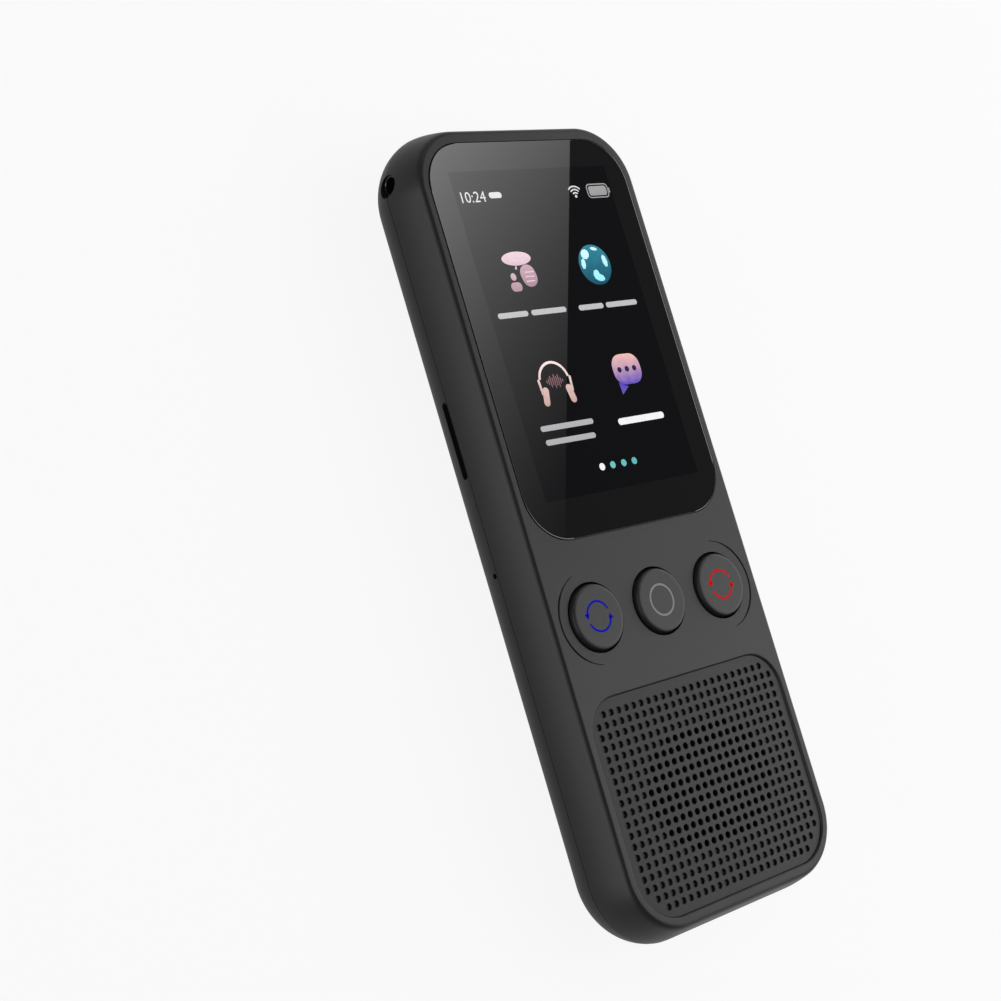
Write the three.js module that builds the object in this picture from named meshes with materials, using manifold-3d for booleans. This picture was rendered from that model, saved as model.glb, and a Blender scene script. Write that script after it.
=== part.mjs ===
// Handheld voice translator, lying on its back with its screen up.
// Millimetres. X runs across it, Y towards the screen end, Z up out of the screen.
// The origin is the middle of the flat underside.
import * as THREE from 'three';
import { mergeVertices } from 'three/addons/utils/BufferGeometryUtils.js';
import Module from 'manifold-3d';

const wasm = await Module();
wasm.setup();

// Body
const bodyWidth = 50.6;
const bodyLength = 130.6;
const bodyThickness = 14.6;
const bodyCornerRadius = 11.7;
const frontDepth = 6.2;
const sideLean = 1.95;
const sideCurvePower = 1.4;
const edgeFilletDepth = 0.8;
const faceEdgeInset = 2.75;
const backCurveRun = 9.9;
const wall = 1.5;
const faceWall = 2;
const partingGap = 0.1;

// Fits
const seat = 0.05;
const seamGap = 0.2;
const cutOverrun = 2;

// Screen
const glassSideMargin = 3.2;
const glassTopMargin = 3.9;
const glassCornerRadius = 8;
const glassThickness = 1.1;
const glassProud = 0.45;
const glassEdgeRound = 0.3;
const adhesiveThickness = 0.15;
const adhesiveWidth = 1.8;
const adhesiveInset = 0.4;
const adhesiveInnerRadius = 2.5;
const activeSideMargin = 5.1;
const activeTopMargin = 4.5;
const activeBottomMargin = 6.3;
const displaySideBorder = 1.5;
const displayTopBorder = 1.6;
const displayBottomBorder = 3.6;
const displayThickness = 1.2;
const displayClearance = 0.3;
const backlightThickness = 1.25;
const screenRibbonWidth = 12;
const ribbonThickness = 0.2;
const screenRibbonReach = 2;
const screenRibbonTail = 5;

// Round keys on the face
const keySideMargin = 11.3;
const keySpacing = 3.9;
const keyRowDrop = 12.3;
const keyProud = 0.73;
const keyEdgeRound = 0.35;
const keyTravel = 0.3;
const keyFlangeWidth = 0.7;
const keyFlangeThickness = 0.7;
const keyFlangeGap = 0.3;
const membraneThickness = 0.5;
const membraneMargin = 0.4;
const membraneGap = 0.1;
const switchSize = 4.5;
const switchPlungerRadius = 1;
const switchPlungerHeight = 0.3;
const switchGap = 0.1;

// Speaker grille in the lower face
const grilleSideMargin = 3.9;
const grilleTopDrop = 12.5;
const grilleLength = 33.8;
const grilleBottomMargin = 3.5;
const grilleCornerRadius = 6;
const grilleRecess = 0.5;
const grilleThickness = 1;
const holeRadius = 0.5;
const holePitchX = 1.631;
const holePitchY = 1.668;
const soundAreaHalfWidth = 13.86;
const soundAreaHalfHeight = 9.67;
const dustMeshThickness = 0.2;

// Loudspeaker
const speakerLength = 30;
const speakerWidth = 20.6;
const speakerClearance = 0.3;
const speakerRingWall = 1.4;
const speakerRingDepth = 3;
const gasketThickness = 0.75;
const gasketWidth = 2;
const speakerFrameHeight = 2.9;
const speakerFrameWall = 1.2;
const speakerFrameFloor = 1;
const coneGap = 0.3;
const coneThickness = 0.4;
const coneDomeRadius = 4.5;
const coneDomeHeight = 0.9;
const magnetRadius = 7;
const magnetHeight = 1.7;

// Keys on the right side
const sideKeyWidth = 4;
const sideKeyProud = 0.6;
const sideKeyClearance = 0.2;
const sideKeyCrown = 0.25;
const powerKeyShare = 0.17647;
const powerKeyTopShare = 0.24303;
const volumeKeyShare = 0.29721;
const sideKeySpacing = 3.9;
const sideFlangeMargin = 0.6;
const sideFlangeThickness = 0.6;
const sideFlangeDepth = 2.7;
const sideSwitchGap = 0.35;
const sideSwitchDepth = 1.25;
const sideSwitchSize = 3;
const volumeSwitchInset = 3.5;
const sideBoardThickness = 0.45;
const sideBoardMargin = 0.8;
const sideBoardHeight = 4.4;
const sideRibThickness = 0.75;

// Main board
const boardThickness = 1;
const boardEdgeGap = 0.7;
const boardSpeakerGap = 1;
const boardNotchGap = 0.4;
const processorShieldLength = 16;
const radioShieldSize = 12;
const shieldHeight = 1.6;
const shieldSpacing = 3;
const shieldRibGap = 3.6;
const antennaSideRoom = 13.1;
const antennaWidth = 2.4;
const antennaEdgeGap = 0.4;

// Board screws and their bosses
const bossRadius = 1.6;
const bossInset = 4.7;
const bossKeyDrop = 10.5;
const bossSpacing = 1;
const screwRadius = 0.7;
const screwClearance = 0.15;
const screwHeadRadius = 1.4;
const screwHeadHeight = 0.8;
const screwLength = 3.4;
const screwTipGap = 0.4;

// Sockets and microphones on the sides and the bottom end
const jackDrop = 8;
const jackBoreRadius = 1.8;
const jackBodyWidth = 5.6;
const jackBodyHeight = 4.6;
const jackBodyLength = 11;
const jackInset = 5;
const jackNoseRadius = 2.4;
const jackNoseLength = 0.9;
const jackEndWall = 1;
const cardSlotLength = 12.35;
const cardSlotHeight = 1.3;
const cardSlotDrop = 0.75;
const cardSlotFall = 12.9;
const cardSocketLength = 14;
const cardSocketInset = 2.4;
const cardSocketWall = 0.7;
const cardSocketHeight = 1.4;
const cardSocketRoof = 0.35;
const microphoneLength = 3.8;
const microphoneWidth = 3;
const microphoneHeight = 1.15;
const microphoneHoleRadius = 0.45;
const leftMicrophoneRise = 10.15;
const rightMicrophoneRise = 1.9;
const usbWidth = 8.94;
const usbHeight = 3.2;
const usbDepth = 7.3;
const usbWall = 0.3;
const usbInset = 1.8;
const usbCentreDrop = 2.35;
const usbPortClearance = 0.25;
const usbTongueWidth = 6.7;
const usbTongueThickness = 0.7;
const usbTongueGap = 1;
const chargeBoardWidth = 22;
const chargeBoardThickness = 0.8;
const chargeBoardEndGap = 5.1;
const chargeBoardLength = 24.2;
const chargePostRadius = 1.5;
const chargePostInset = 3;
const boardRibbonWidth = 8;
const boardRibbonTail = 3;

// Battery
const batterySideRoom = 7.3;
const batteryTopRoom = 37.3;
const batteryBoardGap = 8;
const batteryThickness = 4.4;
const batteryLift = 0.5;
const batteryCornerRadius = 1.5;
const batteryTapeInset = 4;
const batteryConnectorWidth = 5;
const batteryConnectorDepth = 3;
const batteryConnectorHeight = 1.45;
const batteryConnectorSpacing = 3;
const batteryLeadWidth = 2.4;
const batteryLeadThickness = 0.8;
const batteryLeadGap = 0.3;

// Heights
const faceZ = bodyThickness;
const partingZ = bodyThickness - frontDepth;
const ceilingZ = faceZ - faceWall;
const floorZ = wall;
const halfWidth = bodyWidth / 2;
const halfLength = bodyLength / 2;
const sideCurveHeight = frontDepth - edgeFilletDepth;

// Counts of facets
const cornerSteps = 7;
const sideSteps = 3;
const filletSteps = 3;
const backSteps = 7;
const innerSteps = 4;
const roundSegments = 32;
const smallRoundSegments = 12;
const holeSegments = 6;
const pillSteps = 6;
const tightCornerSteps = 2;
const batteryCornerSteps = 3;

// Outlines and solids

// A rounded rectangle as a list of points, anticlockwise.
function roundedPoints(width, length, radius, steps = cornerSteps, centreX = 0, centreY = 0) {
  const points = [];
  const r = Math.min(radius, width / 2, length / 2);
  const corners = [[1, 1], [-1, 1], [-1, -1], [1, -1]];
  corners.forEach(([sideX, sideY], quarter) => {
    const x = centreX + sideX * (width / 2 - r);
    const y = centreY + sideY * (length / 2 - r);
    for (let step = 0; step <= steps; step += 1) {
      const angle = (quarter + step / steps) * Math.PI / 2;
      points.push(new THREE.Vector2(x + r * Math.cos(angle), y + r * Math.sin(angle)));
    }
  });
  return points;
}

// Turns a three.js geometry into a solid, whichever way its faces are wound.
function toSolid(geometry) {
  const bare = geometry.clone();
  bare.deleteAttribute('normal');
  bare.deleteAttribute('uv');
  const merged = mergeVertices(bare);
  const position = merged.attributes.position;
  const index = Array.from(merged.index.array);
  const corner = [new THREE.Vector3(), new THREE.Vector3(), new THREE.Vector3()];
  const triangles = [];
  let volume = 0;
  for (let start = 0; start < index.length; start += 3) {
    const [a, b, c] = index.slice(start, start + 3);
    if (a !== b && b !== c && c !== a) {
      corner[0].fromBufferAttribute(position, a);
      corner[1].fromBufferAttribute(position, b);
      corner[2].fromBufferAttribute(position, c);
      volume += corner[0].dot(corner[1].cross(corner[2]));
      triangles.push([a, b, c]);
    }
  }
  const wound = volume < 0 ? triangles.map(([a, b, c]) => [a, c, b]) : triangles;
  return new wasm.Manifold(new wasm.Mesh({
    numProp: 3,
    vertProperties: new Float32Array(position.array),
    triVerts: new Uint32Array(wound.flat()),
  }));
}

function toGeometry(solid) {
  const mesh = solid.getMesh();
  const geometry = new THREE.BufferGeometry();
  geometry.setAttribute('position', new THREE.BufferAttribute(mesh.vertProperties, 3));
  geometry.setIndex(new THREE.BufferAttribute(mesh.triVerts, 1));
  geometry.computeVertexNormals();
  return geometry;
}

// An outline extruded upwards from one height to another.
function prism(points, bottom, top) {
  const shape = new THREE.Shape(points);
  const geometry = new THREE.ExtrudeGeometry(shape, { depth: top - bottom, bevelEnabled: false });
  return toSolid(geometry.translate(0, 0, bottom));
}

// An outline drawn in Y and Z, extruded along X.
function sidePrism(points, start, end) {
  const shape = new THREE.Shape(points);
  const geometry = new THREE.ExtrudeGeometry(shape, { depth: end - start, bevelEnabled: false });
  geometry.rotateY(Math.PI / 2).rotateX(Math.PI / 2);
  return toSolid(geometry.translate(start, 0, 0));
}

// An outline drawn in X and Z, extruded along Y.
function endPrism(points, start, end) {
  const shape = new THREE.Shape(points);
  const geometry = new THREE.ExtrudeGeometry(shape, { depth: end - start, bevelEnabled: false });
  return toSolid(geometry.rotateX(Math.PI / 2).translate(0, end, 0));
}

function block(x, y, z) {
  const geometry = new THREE.BoxGeometry(x[1] - x[0], y[1] - y[0], z[1] - z[0]);
  return toSolid(geometry.translate((x[0] + x[1]) / 2, (y[0] + y[1]) / 2, (z[0] + z[1]) / 2));
}

function upright(radius, x, y, bottom, top, segments = smallRoundSegments) {
  const geometry = new THREE.CylinderGeometry(radius, radius, top - bottom, segments);
  return toSolid(geometry.rotateX(Math.PI / 2).translate(x, y, (bottom + top) / 2));
}

function crosswise(radius, y, z, start, end, segments = smallRoundSegments) {
  const geometry = new THREE.CylinderGeometry(radius, radius, end - start, segments);
  return toSolid(geometry.rotateZ(Math.PI / 2).translate((start + end) / 2, y, z));
}

// A profile of radius and height, turned about an upright axis.
function turned(profile, x, y, segments = roundSegments) {
  const geometry = new THREE.LatheGeometry(profile, segments);
  return toSolid(geometry.rotateX(Math.PI / 2).translate(x, y, 0));
}

// A skin over a stack of outlines, closed at both ends.
function loft(rings) {
  const count = rings[0].points.length;
  const positions = [];
  const index = [];
  rings.forEach(({ points, z }) => points.forEach((point) => positions.push(point.x, point.y, z)));
  for (let ring = 0; ring + 1 < rings.length; ring += 1) {
    for (let step = 0; step < count; step += 1) {
      const next = (step + 1) % count;
      const low = ring * count;
      const high = low + count;
      index.push(low + step, low + next, high + next);
      index.push(low + step, high + next, high + step);
    }
  }
  const ends = [[0, rings[0], true], [(rings.length - 1) * count, rings[rings.length - 1], false]];
  ends.forEach(([first, ring, flipped]) => {
    const centre = positions.length / 3;
    const sum = ring.points.reduce((total, point) => total.add(point), new THREE.Vector2());
    positions.push(sum.x / count, sum.y / count, ring.z);
    for (let step = 0; step < count; step += 1) {
      const next = (step + 1) % count;
      index.push(centre, first + (flipped ? next : step), first + (flipped ? step : next));
    }
  });
  const geometry = new THREE.BufferGeometry();
  geometry.setAttribute('position', new THREE.Float32BufferAttribute(positions, 3));
  geometry.setIndex(index);
  return toSolid(geometry);
}

// The body's plan outline, drawn in by an inset.
function bodyRing(inset, z) {
  const radius = Math.max(bodyCornerRadius - inset, wall / 2);
  return { points: roundedPoints(bodyWidth - 2 * inset, bodyLength - 2 * inset, radius), z };
}

function leanAt(z) {
  const share = Math.max(0, (z - partingZ) / sideCurveHeight);
  return sideLean * share ** sideCurvePower;
}

// Finishes
const finishes = {
  housing: new THREE.MeshStandardMaterial({ color: 0x47484a, roughness: 0.6, metalness: 0 }),
  grille: new THREE.MeshStandardMaterial({ color: 0x454648, roughness: 0.6, metalness: 0 }),
  key: new THREE.MeshStandardMaterial({ color: 0x4a4b4d, roughness: 0.5, metalness: 0 }),
  sideKey: new THREE.MeshStandardMaterial({ color: 0x1b1b1d, roughness: 0.3, metalness: 0 }),
  glass: new THREE.MeshStandardMaterial({ color: 0x101114, roughness: 0.08, metalness: 0 }),
  display: new THREE.MeshStandardMaterial({ color: 0x15161c, roughness: 0.3, metalness: 0 }),
  rubber: new THREE.MeshStandardMaterial({ color: 0x2a2a2a, roughness: 0.9, metalness: 0 }),
  board: new THREE.MeshStandardMaterial({ color: 0x1d4a2c, roughness: 0.5, metalness: 0 }),
  tin: new THREE.MeshStandardMaterial({ color: 0xb9bbbd, roughness: 0.35, metalness: 1 }),
  steel: new THREE.MeshStandardMaterial({ color: 0x8d8f92, roughness: 0.3, metalness: 1 }),
  plastic: new THREE.MeshStandardMaterial({ color: 0x18181a, roughness: 0.5, metalness: 0 }),
  foil: new THREE.MeshStandardMaterial({ color: 0x9fa3a8, roughness: 0.5, metalness: 0.6 }),
  ribbon: new THREE.MeshStandardMaterial({ color: 0x9a5a1e, roughness: 0.5, metalness: 0 }),
};

const translator = new THREE.Group();

function piece(name, solid, finish) {
  const mesh = new THREE.Mesh(toGeometry(solid), finishes[finish]);
  mesh.name = name;
  translator.add(mesh);
}

// Places that several pieces share
const grilleWidth = bodyWidth - 2 * grilleSideMargin;
const grilleBottomY = grilleBottomMargin - halfLength;
const grilleTopY = grilleBottomY + grilleLength;
const grilleCentreY = (grilleTopY + grilleBottomY) / 2;
const grilleTopZ = faceZ - grilleRecess;
const grilleBottomZ = grilleTopZ - grilleThickness;
const grilleFloorZ = grilleBottomZ - seat;

const keyPitch = halfWidth - keySideMargin;
const keyRadius = (keyPitch - keySpacing) / 2;
const keyRowY = grilleTopY + grilleTopDrop;
const keyFlangeTopZ = ceilingZ - keyFlangeGap;
const keyBottomZ = keyFlangeTopZ - keyFlangeThickness;
const membraneTopZ = keyBottomZ - keyTravel - membraneGap;
const membraneBottomZ = membraneTopZ - membraneThickness;
const keyXs = [-keyPitch, 0, keyPitch];

const glassWidth = bodyWidth - 2 * glassSideMargin;
const glassTopY = halfLength - glassTopMargin;
const glassBottomY = keyRowY + keyRowDrop;
const glassLength = glassTopY - glassBottomY;
const glassCentreY = (glassTopY + glassBottomY) / 2;
const glassTopZ = faceZ + glassProud;
const glassBottomZ = glassTopZ - glassThickness;
const ledgeZ = glassBottomZ - adhesiveThickness;
const displayWidth = glassWidth - 2 * (activeSideMargin - displaySideBorder);
const displayTopY = glassTopY - activeTopMargin + displayTopBorder;
const displayBottomY = glassBottomY + activeBottomMargin - displayBottomBorder;
const displayLength = displayTopY - displayBottomY;
const displayCentreY = (displayTopY + displayBottomY) / 2;
const displayTopZ = glassBottomZ - seat;
const displayBottomZ = displayTopZ - displayThickness;
const backlightTopZ = displayBottomZ - seat;
const backlightBottomZ = backlightTopZ - backlightThickness;

const dustMeshTopZ = grilleBottomZ - seat;
const dustMeshBottomZ = dustMeshTopZ - dustMeshThickness;
const gasketTopZ = dustMeshBottomZ - seat;
const gasketBottomZ = gasketTopZ - gasketThickness;
const speakerTopZ = gasketBottomZ - seat;
const speakerBottomZ = speakerTopZ - speakerFrameHeight;

const boardBottomZ = partingZ;
const boardTopZ = boardBottomZ + boardThickness;
const boardTopY = halfLength - wall - boardEdgeGap;
const speakerRingHalf = speakerWidth / 2 + speakerClearance + speakerRingWall;
const boardBottomY = grilleCentreY + speakerRingHalf + boardSpeakerGap;
const boardHalfWidth = halfWidth - wall - boardEdgeGap;

const sideFlangeOuterX = halfWidth - sideFlangeDepth;
const sideFlangeInnerX = sideFlangeOuterX - sideFlangeThickness;
const sideSwitchOuterX = sideFlangeInnerX - sideSwitchGap;
const sideSwitchInnerX = sideSwitchOuterX - sideSwitchDepth;
const sideBoardOuterX = sideSwitchInnerX - seat;
const sideBoardInnerX = sideBoardOuterX - sideBoardThickness;
const sideRibOuterX = sideBoardInnerX - seat;
const sideRibInnerX = sideRibOuterX - sideRibThickness;
const sideKeyZ = partingZ;
const shieldReach = sideRibInnerX - shieldRibGap;
const radioShieldX = shieldReach - radioShieldSize;
const shieldY = displayCentreY + shieldSpacing;
const powerKeyLength = glassLength * powerKeyShare;
const volumeKeyLength = glassLength * volumeKeyShare;
const powerKeyY = glassTopY - glassLength * powerKeyTopShare - powerKeyLength / 2;
const volumeKeyY = powerKeyY - powerKeyLength / 2 - sideKeySpacing - volumeKeyLength / 2;
const sideBoardTopY = powerKeyY + powerKeyLength / 2 + sideBoardMargin;
const sideBoardBottomY = volumeKeyY - volumeKeyLength / 2 - sideBoardMargin;

const jackY = halfLength - jackDrop;
const jackFrontX = jackInset - halfWidth;
const leftMicrophoneY = keyRowY + leftMicrophoneRise;
const rightMicrophoneY = sideBoardTopY + rightMicrophoneRise;
const microphoneTopZ = boardBottomZ - seat;
const microphoneHoleZ = microphoneTopZ - microphoneHeight / 2;
const cardSlotY = glassCentreY - cardSlotFall;
const cardSlotZ = partingZ - cardSlotDrop;
const cardSocketTopZ = boardBottomZ - seat;
const usbZ = partingZ - usbCentreDrop;
const usbMouthY = usbInset - halfLength;
const chargeBoardTopZ = usbZ - usbHeight / 2 - seat;
const chargeBoardBottomZ = chargeBoardTopZ - chargeBoardThickness;
const chargeBoardEndY = chargeBoardEndGap - halfLength;
const chargeBoardTopY = chargeBoardEndY + chargeBoardLength;

const bossX = halfWidth - bossInset;
const lowerBossY = keyRowY - bossKeyDrop;
const screwPlaces = [
  [-bossX, jackY - jackBodyWidth / 2 - bossRadius - bossSpacing],
  [bossX, rightMicrophoneY + microphoneLength / 2 + bossRadius + bossSpacing],
  [-bossX, lowerBossY],
  [bossX, lowerBossY],
];

// Plan outlines used by more than one piece
const speakerPoints = (grow) => roundedPoints(
  speakerLength + 2 * grow,
  speakerWidth + 2 * grow,
  speakerWidth / 2 + grow,
  cornerSteps,
  0,
  grilleCentreY,
);
const sideKeyPoints = (length, y, grow) => roundedPoints(
  length + 2 * grow,
  sideKeyWidth + 2 * grow,
  sideKeyWidth / 2 + grow,
  pillSteps,
  y,
  sideKeyZ,
);

// Holes that both halves of the housing share
const sideKeyHoles = [[powerKeyLength, powerKeyY], [volumeKeyLength, volumeKeyY]].map(([length, y]) => (
  sidePrism(sideKeyPoints(length, y, sideKeyClearance), sideFlangeOuterX, halfWidth + cutOverrun)
));
const jackHole = crosswise(
  jackBoreRadius,
  jackY,
  partingZ,
  -halfWidth - cutOverrun,
  jackFrontX,
);

// Front housing: leaning sides, a soft edge, and the openings of the face
function frontHousing() {
  const outer = [];
  for (let step = 0; step <= sideSteps; step += 1) {
    const z = partingZ + sideCurveHeight * step / sideSteps;
    outer.push(bodyRing(leanAt(z), step === 0 ? z + partingGap / 2 : z));
  }
  const topSlope = sideCurvePower * sideLean / sideCurveHeight;
  const start = new THREE.Vector2(sideLean, partingZ + sideCurveHeight);
  const bend = new THREE.Vector2(sideLean + edgeFilletDepth * topSlope, faceZ);
  const end = new THREE.Vector2(faceEdgeInset, faceZ);
  const fillet = new THREE.QuadraticBezierCurve(start, bend, end);
  fillet.getPoints(filletSteps).slice(1).forEach((point) => outer.push(bodyRing(point.x, point.y)));
  const inner = [bodyRing(wall, partingZ - cutOverrun)];
  for (let step = 0; step <= sideSteps; step += 1) {
    const z = partingZ + (ceilingZ - partingZ) * step / sideSteps;
    inner.push(bodyRing(wall + leanAt(z), z));
  }
  let housing = loft(outer).subtract(loft(inner));

  const pocketRadius = glassCornerRadius + seamGap;
  const pocketWidth = glassWidth + 2 * seamGap;
  const pocketLength = glassLength + 2 * seamGap;
  const pocket = roundedPoints(pocketWidth, pocketLength, pocketRadius, cornerSteps, 0, glassCentreY);
  housing = housing.subtract(prism(pocket, ledgeZ, faceZ + cutOverrun));
  const windowWidth = displayWidth + 2 * displayClearance;
  const windowLength = displayLength + 2 * displayClearance;
  const opening = roundedPoints(
    windowWidth,
    windowLength,
    displayClearance,
    tightCornerSteps,
    0,
    displayCentreY,
  );
  housing = housing.subtract(prism(opening, ceilingZ - cutOverrun, ledgeZ + cutOverrun));

  keyXs.forEach((x) => {
    const opened = keyRadius + seamGap;
    const hole = upright(opened, x, keyRowY, ceilingZ - cutOverrun, faceZ + cutOverrun, roundSegments);
    housing = housing.subtract(hole);
  });

  const recess = roundedPoints(
    grilleWidth + 2 * seat,
    grilleLength + 2 * seat,
    grilleCornerRadius + seat,
    cornerSteps,
    0,
    grilleCentreY,
  );
  housing = housing.subtract(prism(recess, grilleFloorZ, faceZ + cutOverrun));
  const ringBottomZ = ceilingZ - speakerRingDepth;
  housing = housing.add(prism(speakerPoints(speakerClearance + speakerRingWall), ringBottomZ, grilleFloorZ));
  const soundWay = prism(speakerPoints(speakerClearance), ringBottomZ - cutOverrun, faceZ + cutOverrun);
  housing = housing.subtract(soundWay);

  screwPlaces.forEach(([x, y]) => {
    const boss = upright(bossRadius, x, y, boardTopZ + seat, (ceilingZ + ledgeZ) / 2);
    const holeTopZ = boardBottomZ - seat + screwLength + screwTipGap;
    const hole = upright(screwRadius + screwClearance, x, y, boardTopZ - cutOverrun, holeTopZ);
    housing = housing.add(boss).subtract(hole);
  });

  const ribBottomZ = sideKeyZ - sideBoardHeight / 2;
  const ribTopZ = (ceilingZ + ledgeZ) / 2;
  const rib = block(
    [sideRibInnerX, sideRibOuterX],
    [sideBoardBottomY, sideBoardTopY],
    [ribBottomZ, ribTopZ],
  );
  housing = housing.add(rib);

  sideKeyHoles.forEach((hole) => {
    housing = housing.subtract(hole);
  });
  return housing.subtract(jackHole);
}

// Rear housing: a deep tray with a large soft edge and a flat underside
function rearHousing() {
  const outerRings = [];
  for (let step = backSteps; step >= 0; step -= 1) {
    const angle = Math.PI / 2 * step / backSteps;
    const z = partingZ * (1 - Math.sin(angle));
    outerRings.push(bodyRing(backCurveRun * (1 - Math.cos(angle)), step === 0 ? z - partingGap / 2 : z));
  }
  const innerRings = [];
  for (let step = innerSteps; step >= 0; step -= 1) {
    const angle = Math.PI / 2 * step / innerSteps;
    const inset = wall + (backCurveRun - wall) * (1 - Math.cos(angle));
    innerRings.push(bodyRing(inset, partingZ - (partingZ - floorZ) * Math.sin(angle)));
  }
  innerRings.push(bodyRing(wall, partingZ + cutOverrun));
  let housing = loft(outerRings).subtract(loft(innerRings));

  [-1, 1].forEach((side) => {
    const x = side * (chargeBoardWidth / 2 - chargePostInset);
    [chargeBoardEndY + chargePostInset + wall, chargeBoardTopY - chargePostInset].forEach((y) => {
      const post = upright(chargePostRadius, x, y, floorZ / 2, chargeBoardBottomZ - seat);
      housing = housing.add(post);
    });
  });

  const port = roundedPoints(
    usbWidth + 2 * usbPortClearance,
    usbHeight + 2 * usbPortClearance,
    usbHeight / 2 + usbPortClearance,
    pillSteps,
    0,
    usbZ,
  );
  housing = housing.subtract(endPrism(port, -halfLength - cutOverrun, chargeBoardEndY));
  const slot = roundedPoints(
    cardSlotLength,
    cardSlotHeight,
    cardSlotHeight / 2,
    pillSteps,
    cardSlotY,
    cardSlotZ,
  );
  housing = housing.subtract(sidePrism(slot, -halfWidth - cutOverrun, cutOverrun + wall - halfWidth));
  const microphoneHoles = [
    [leftMicrophoneY, -halfWidth - cutOverrun, wall + cutOverrun - halfWidth],
    [rightMicrophoneY, halfWidth - wall - cutOverrun, halfWidth + cutOverrun],
  ];
  microphoneHoles.forEach(([y, start, end]) => {
    housing = housing.subtract(crosswise(microphoneHoleRadius, y, microphoneHoleZ, start, end));
  });
  sideKeyHoles.forEach((hole) => {
    housing = housing.subtract(hole);
  });
  return housing.subtract(jackHole);
}

// Screen glass with a softly rounded upper edge
function screenGlass() {
  const ring = (inset, z) => ({
    points: roundedPoints(
      glassWidth - 2 * inset,
      glassLength - 2 * inset,
      glassCornerRadius - inset,
      cornerSteps,
      0,
      glassCentreY,
    ),
    z,
  });
  const rings = [ring(0, glassBottomZ)];
  for (let step = 0; step <= filletSteps; step += 1) {
    const angle = Math.PI / 2 * step / filletSteps;
    rings.push(ring(
      glassEdgeRound * (1 - Math.cos(angle)),
      glassTopZ - glassEdgeRound * (1 - Math.sin(angle)),
    ));
  }
  return loft(rings);
}

function glassAdhesive() {
  const ring = (inset, radius) => roundedPoints(
    glassWidth - 2 * inset,
    glassLength - 2 * inset,
    radius,
    cornerSteps,
    0,
    glassCentreY,
  );
  const bottom = ledgeZ + seat;
  const top = glassBottomZ - seat;
  const innerRing = ring(adhesiveInset + adhesiveWidth, adhesiveInnerRadius);
  const hole = prism(innerRing, bottom - cutOverrun, top + cutOverrun);
  return prism(ring(adhesiveInset, glassCornerRadius - adhesiveInset), bottom, top).subtract(hole);
}

function displayPlate(bottom, top) {
  const points = roundedPoints(
    displayWidth,
    displayLength,
    displayClearance,
    tightCornerSteps,
    0,
    displayCentreY,
  );
  return prism(points, bottom, top);
}

// A strip of even width whose bends are drawn in Y and Z.
function bentStrip(corners, width) {
  return sidePrism(corners.map(([y, z]) => new THREE.Vector2(y, z)), -width / 2, width / 2);
}

// The screen's ribbon leaves its lower end, drops and lies on the main board
function screenRibbon() {
  const topZ = backlightTopZ - backlightThickness / 3;
  const lowZ = boardTopZ + seat;
  const startY = displayBottomY - seat;
  const bendY = displayBottomY - screenRibbonReach;
  return bentStrip([
    [startY, topZ],
    [bendY - ribbonThickness, topZ],
    [bendY - ribbonThickness, lowZ],
    [bendY + screenRibbonTail, lowZ],
    [bendY + screenRibbonTail, lowZ + ribbonThickness],
    [bendY, lowZ + ribbonThickness],
    [bendY, topZ - ribbonThickness],
    [startY, topZ - ribbonThickness],
  ], screenRibbonWidth);
}

// A round key: a flange under the face and a cap with a soft edge
function roundKey(x) {
  const topZ = faceZ + keyProud;
  const flangeRadius = keyRadius + seamGap + keyFlangeWidth;
  const profile = [
    new THREE.Vector2(0, keyBottomZ),
    new THREE.Vector2(flangeRadius, keyBottomZ),
    new THREE.Vector2(flangeRadius, keyFlangeTopZ),
    new THREE.Vector2(keyRadius, keyFlangeTopZ),
  ];
  for (let step = 0; step <= filletSteps; step += 1) {
    const angle = Math.PI / 2 * step / filletSteps;
    profile.push(new THREE.Vector2(
      keyRadius - keyEdgeRound * (1 - Math.cos(angle)),
      topZ - keyEdgeRound * (1 - Math.sin(angle)),
    ));
  }
  profile.push(new THREE.Vector2(0, topZ));
  return turned(profile, x, keyRowY);
}

function keyMembrane() {
  const width = 2 * (keyPitch + keyRadius + membraneMargin);
  const length = 2 * (keyRadius + membraneMargin);
  const points = roundedPoints(width, length, keyRadius, cornerSteps, 0, keyRowY);
  return prism(points, membraneBottomZ, membraneTopZ);
}

function keySwitch(x) {
  const topZ = membraneBottomZ - switchGap;
  const bodyTopZ = topZ - switchPlungerHeight;
  const half = switchSize / 2;
  const y = [keyRowY - half, keyRowY + half];
  const body = block([x - half, x + half], y, [boardTopZ + seat, bodyTopZ]);
  return body.add(upright(switchPlungerRadius, x, keyRowY, boardTopZ + 2 * seat, topZ));
}

// A key on the right side: a flange inside the wall and a pill that stands proud
function sideKey(length, y) {
  const stemEndX = halfWidth + sideKeyProud - sideKeyCrown;
  const flangePoints = sideKeyPoints(length, y, sideFlangeMargin);
  const flange = sidePrism(flangePoints, sideFlangeInnerX, sideFlangeOuterX);
  const stem = sidePrism(sideKeyPoints(length, y, 0), sideFlangeInnerX + seat, stemEndX);
  const crownPoints = sideKeyPoints(length, y, -sideKeyCrown);
  const crown = sidePrism(crownPoints, stemEndX - seat, halfWidth + sideKeyProud);
  return flange.add(stem).add(crown);
}

function sideSwitch(y) {
  const half = sideSwitchSize / 2;
  const z = [sideKeyZ - half, sideKeyZ + half];
  return block([sideSwitchInnerX, sideSwitchOuterX], [y - half, y + half], z);
}

function sideKeyBoard() {
  const z = [sideKeyZ - sideBoardHeight / 2, sideKeyZ + sideBoardHeight / 2];
  return block([sideBoardInnerX, sideBoardOuterX], [sideBoardBottomY, sideBoardTopY], z);
}

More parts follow.
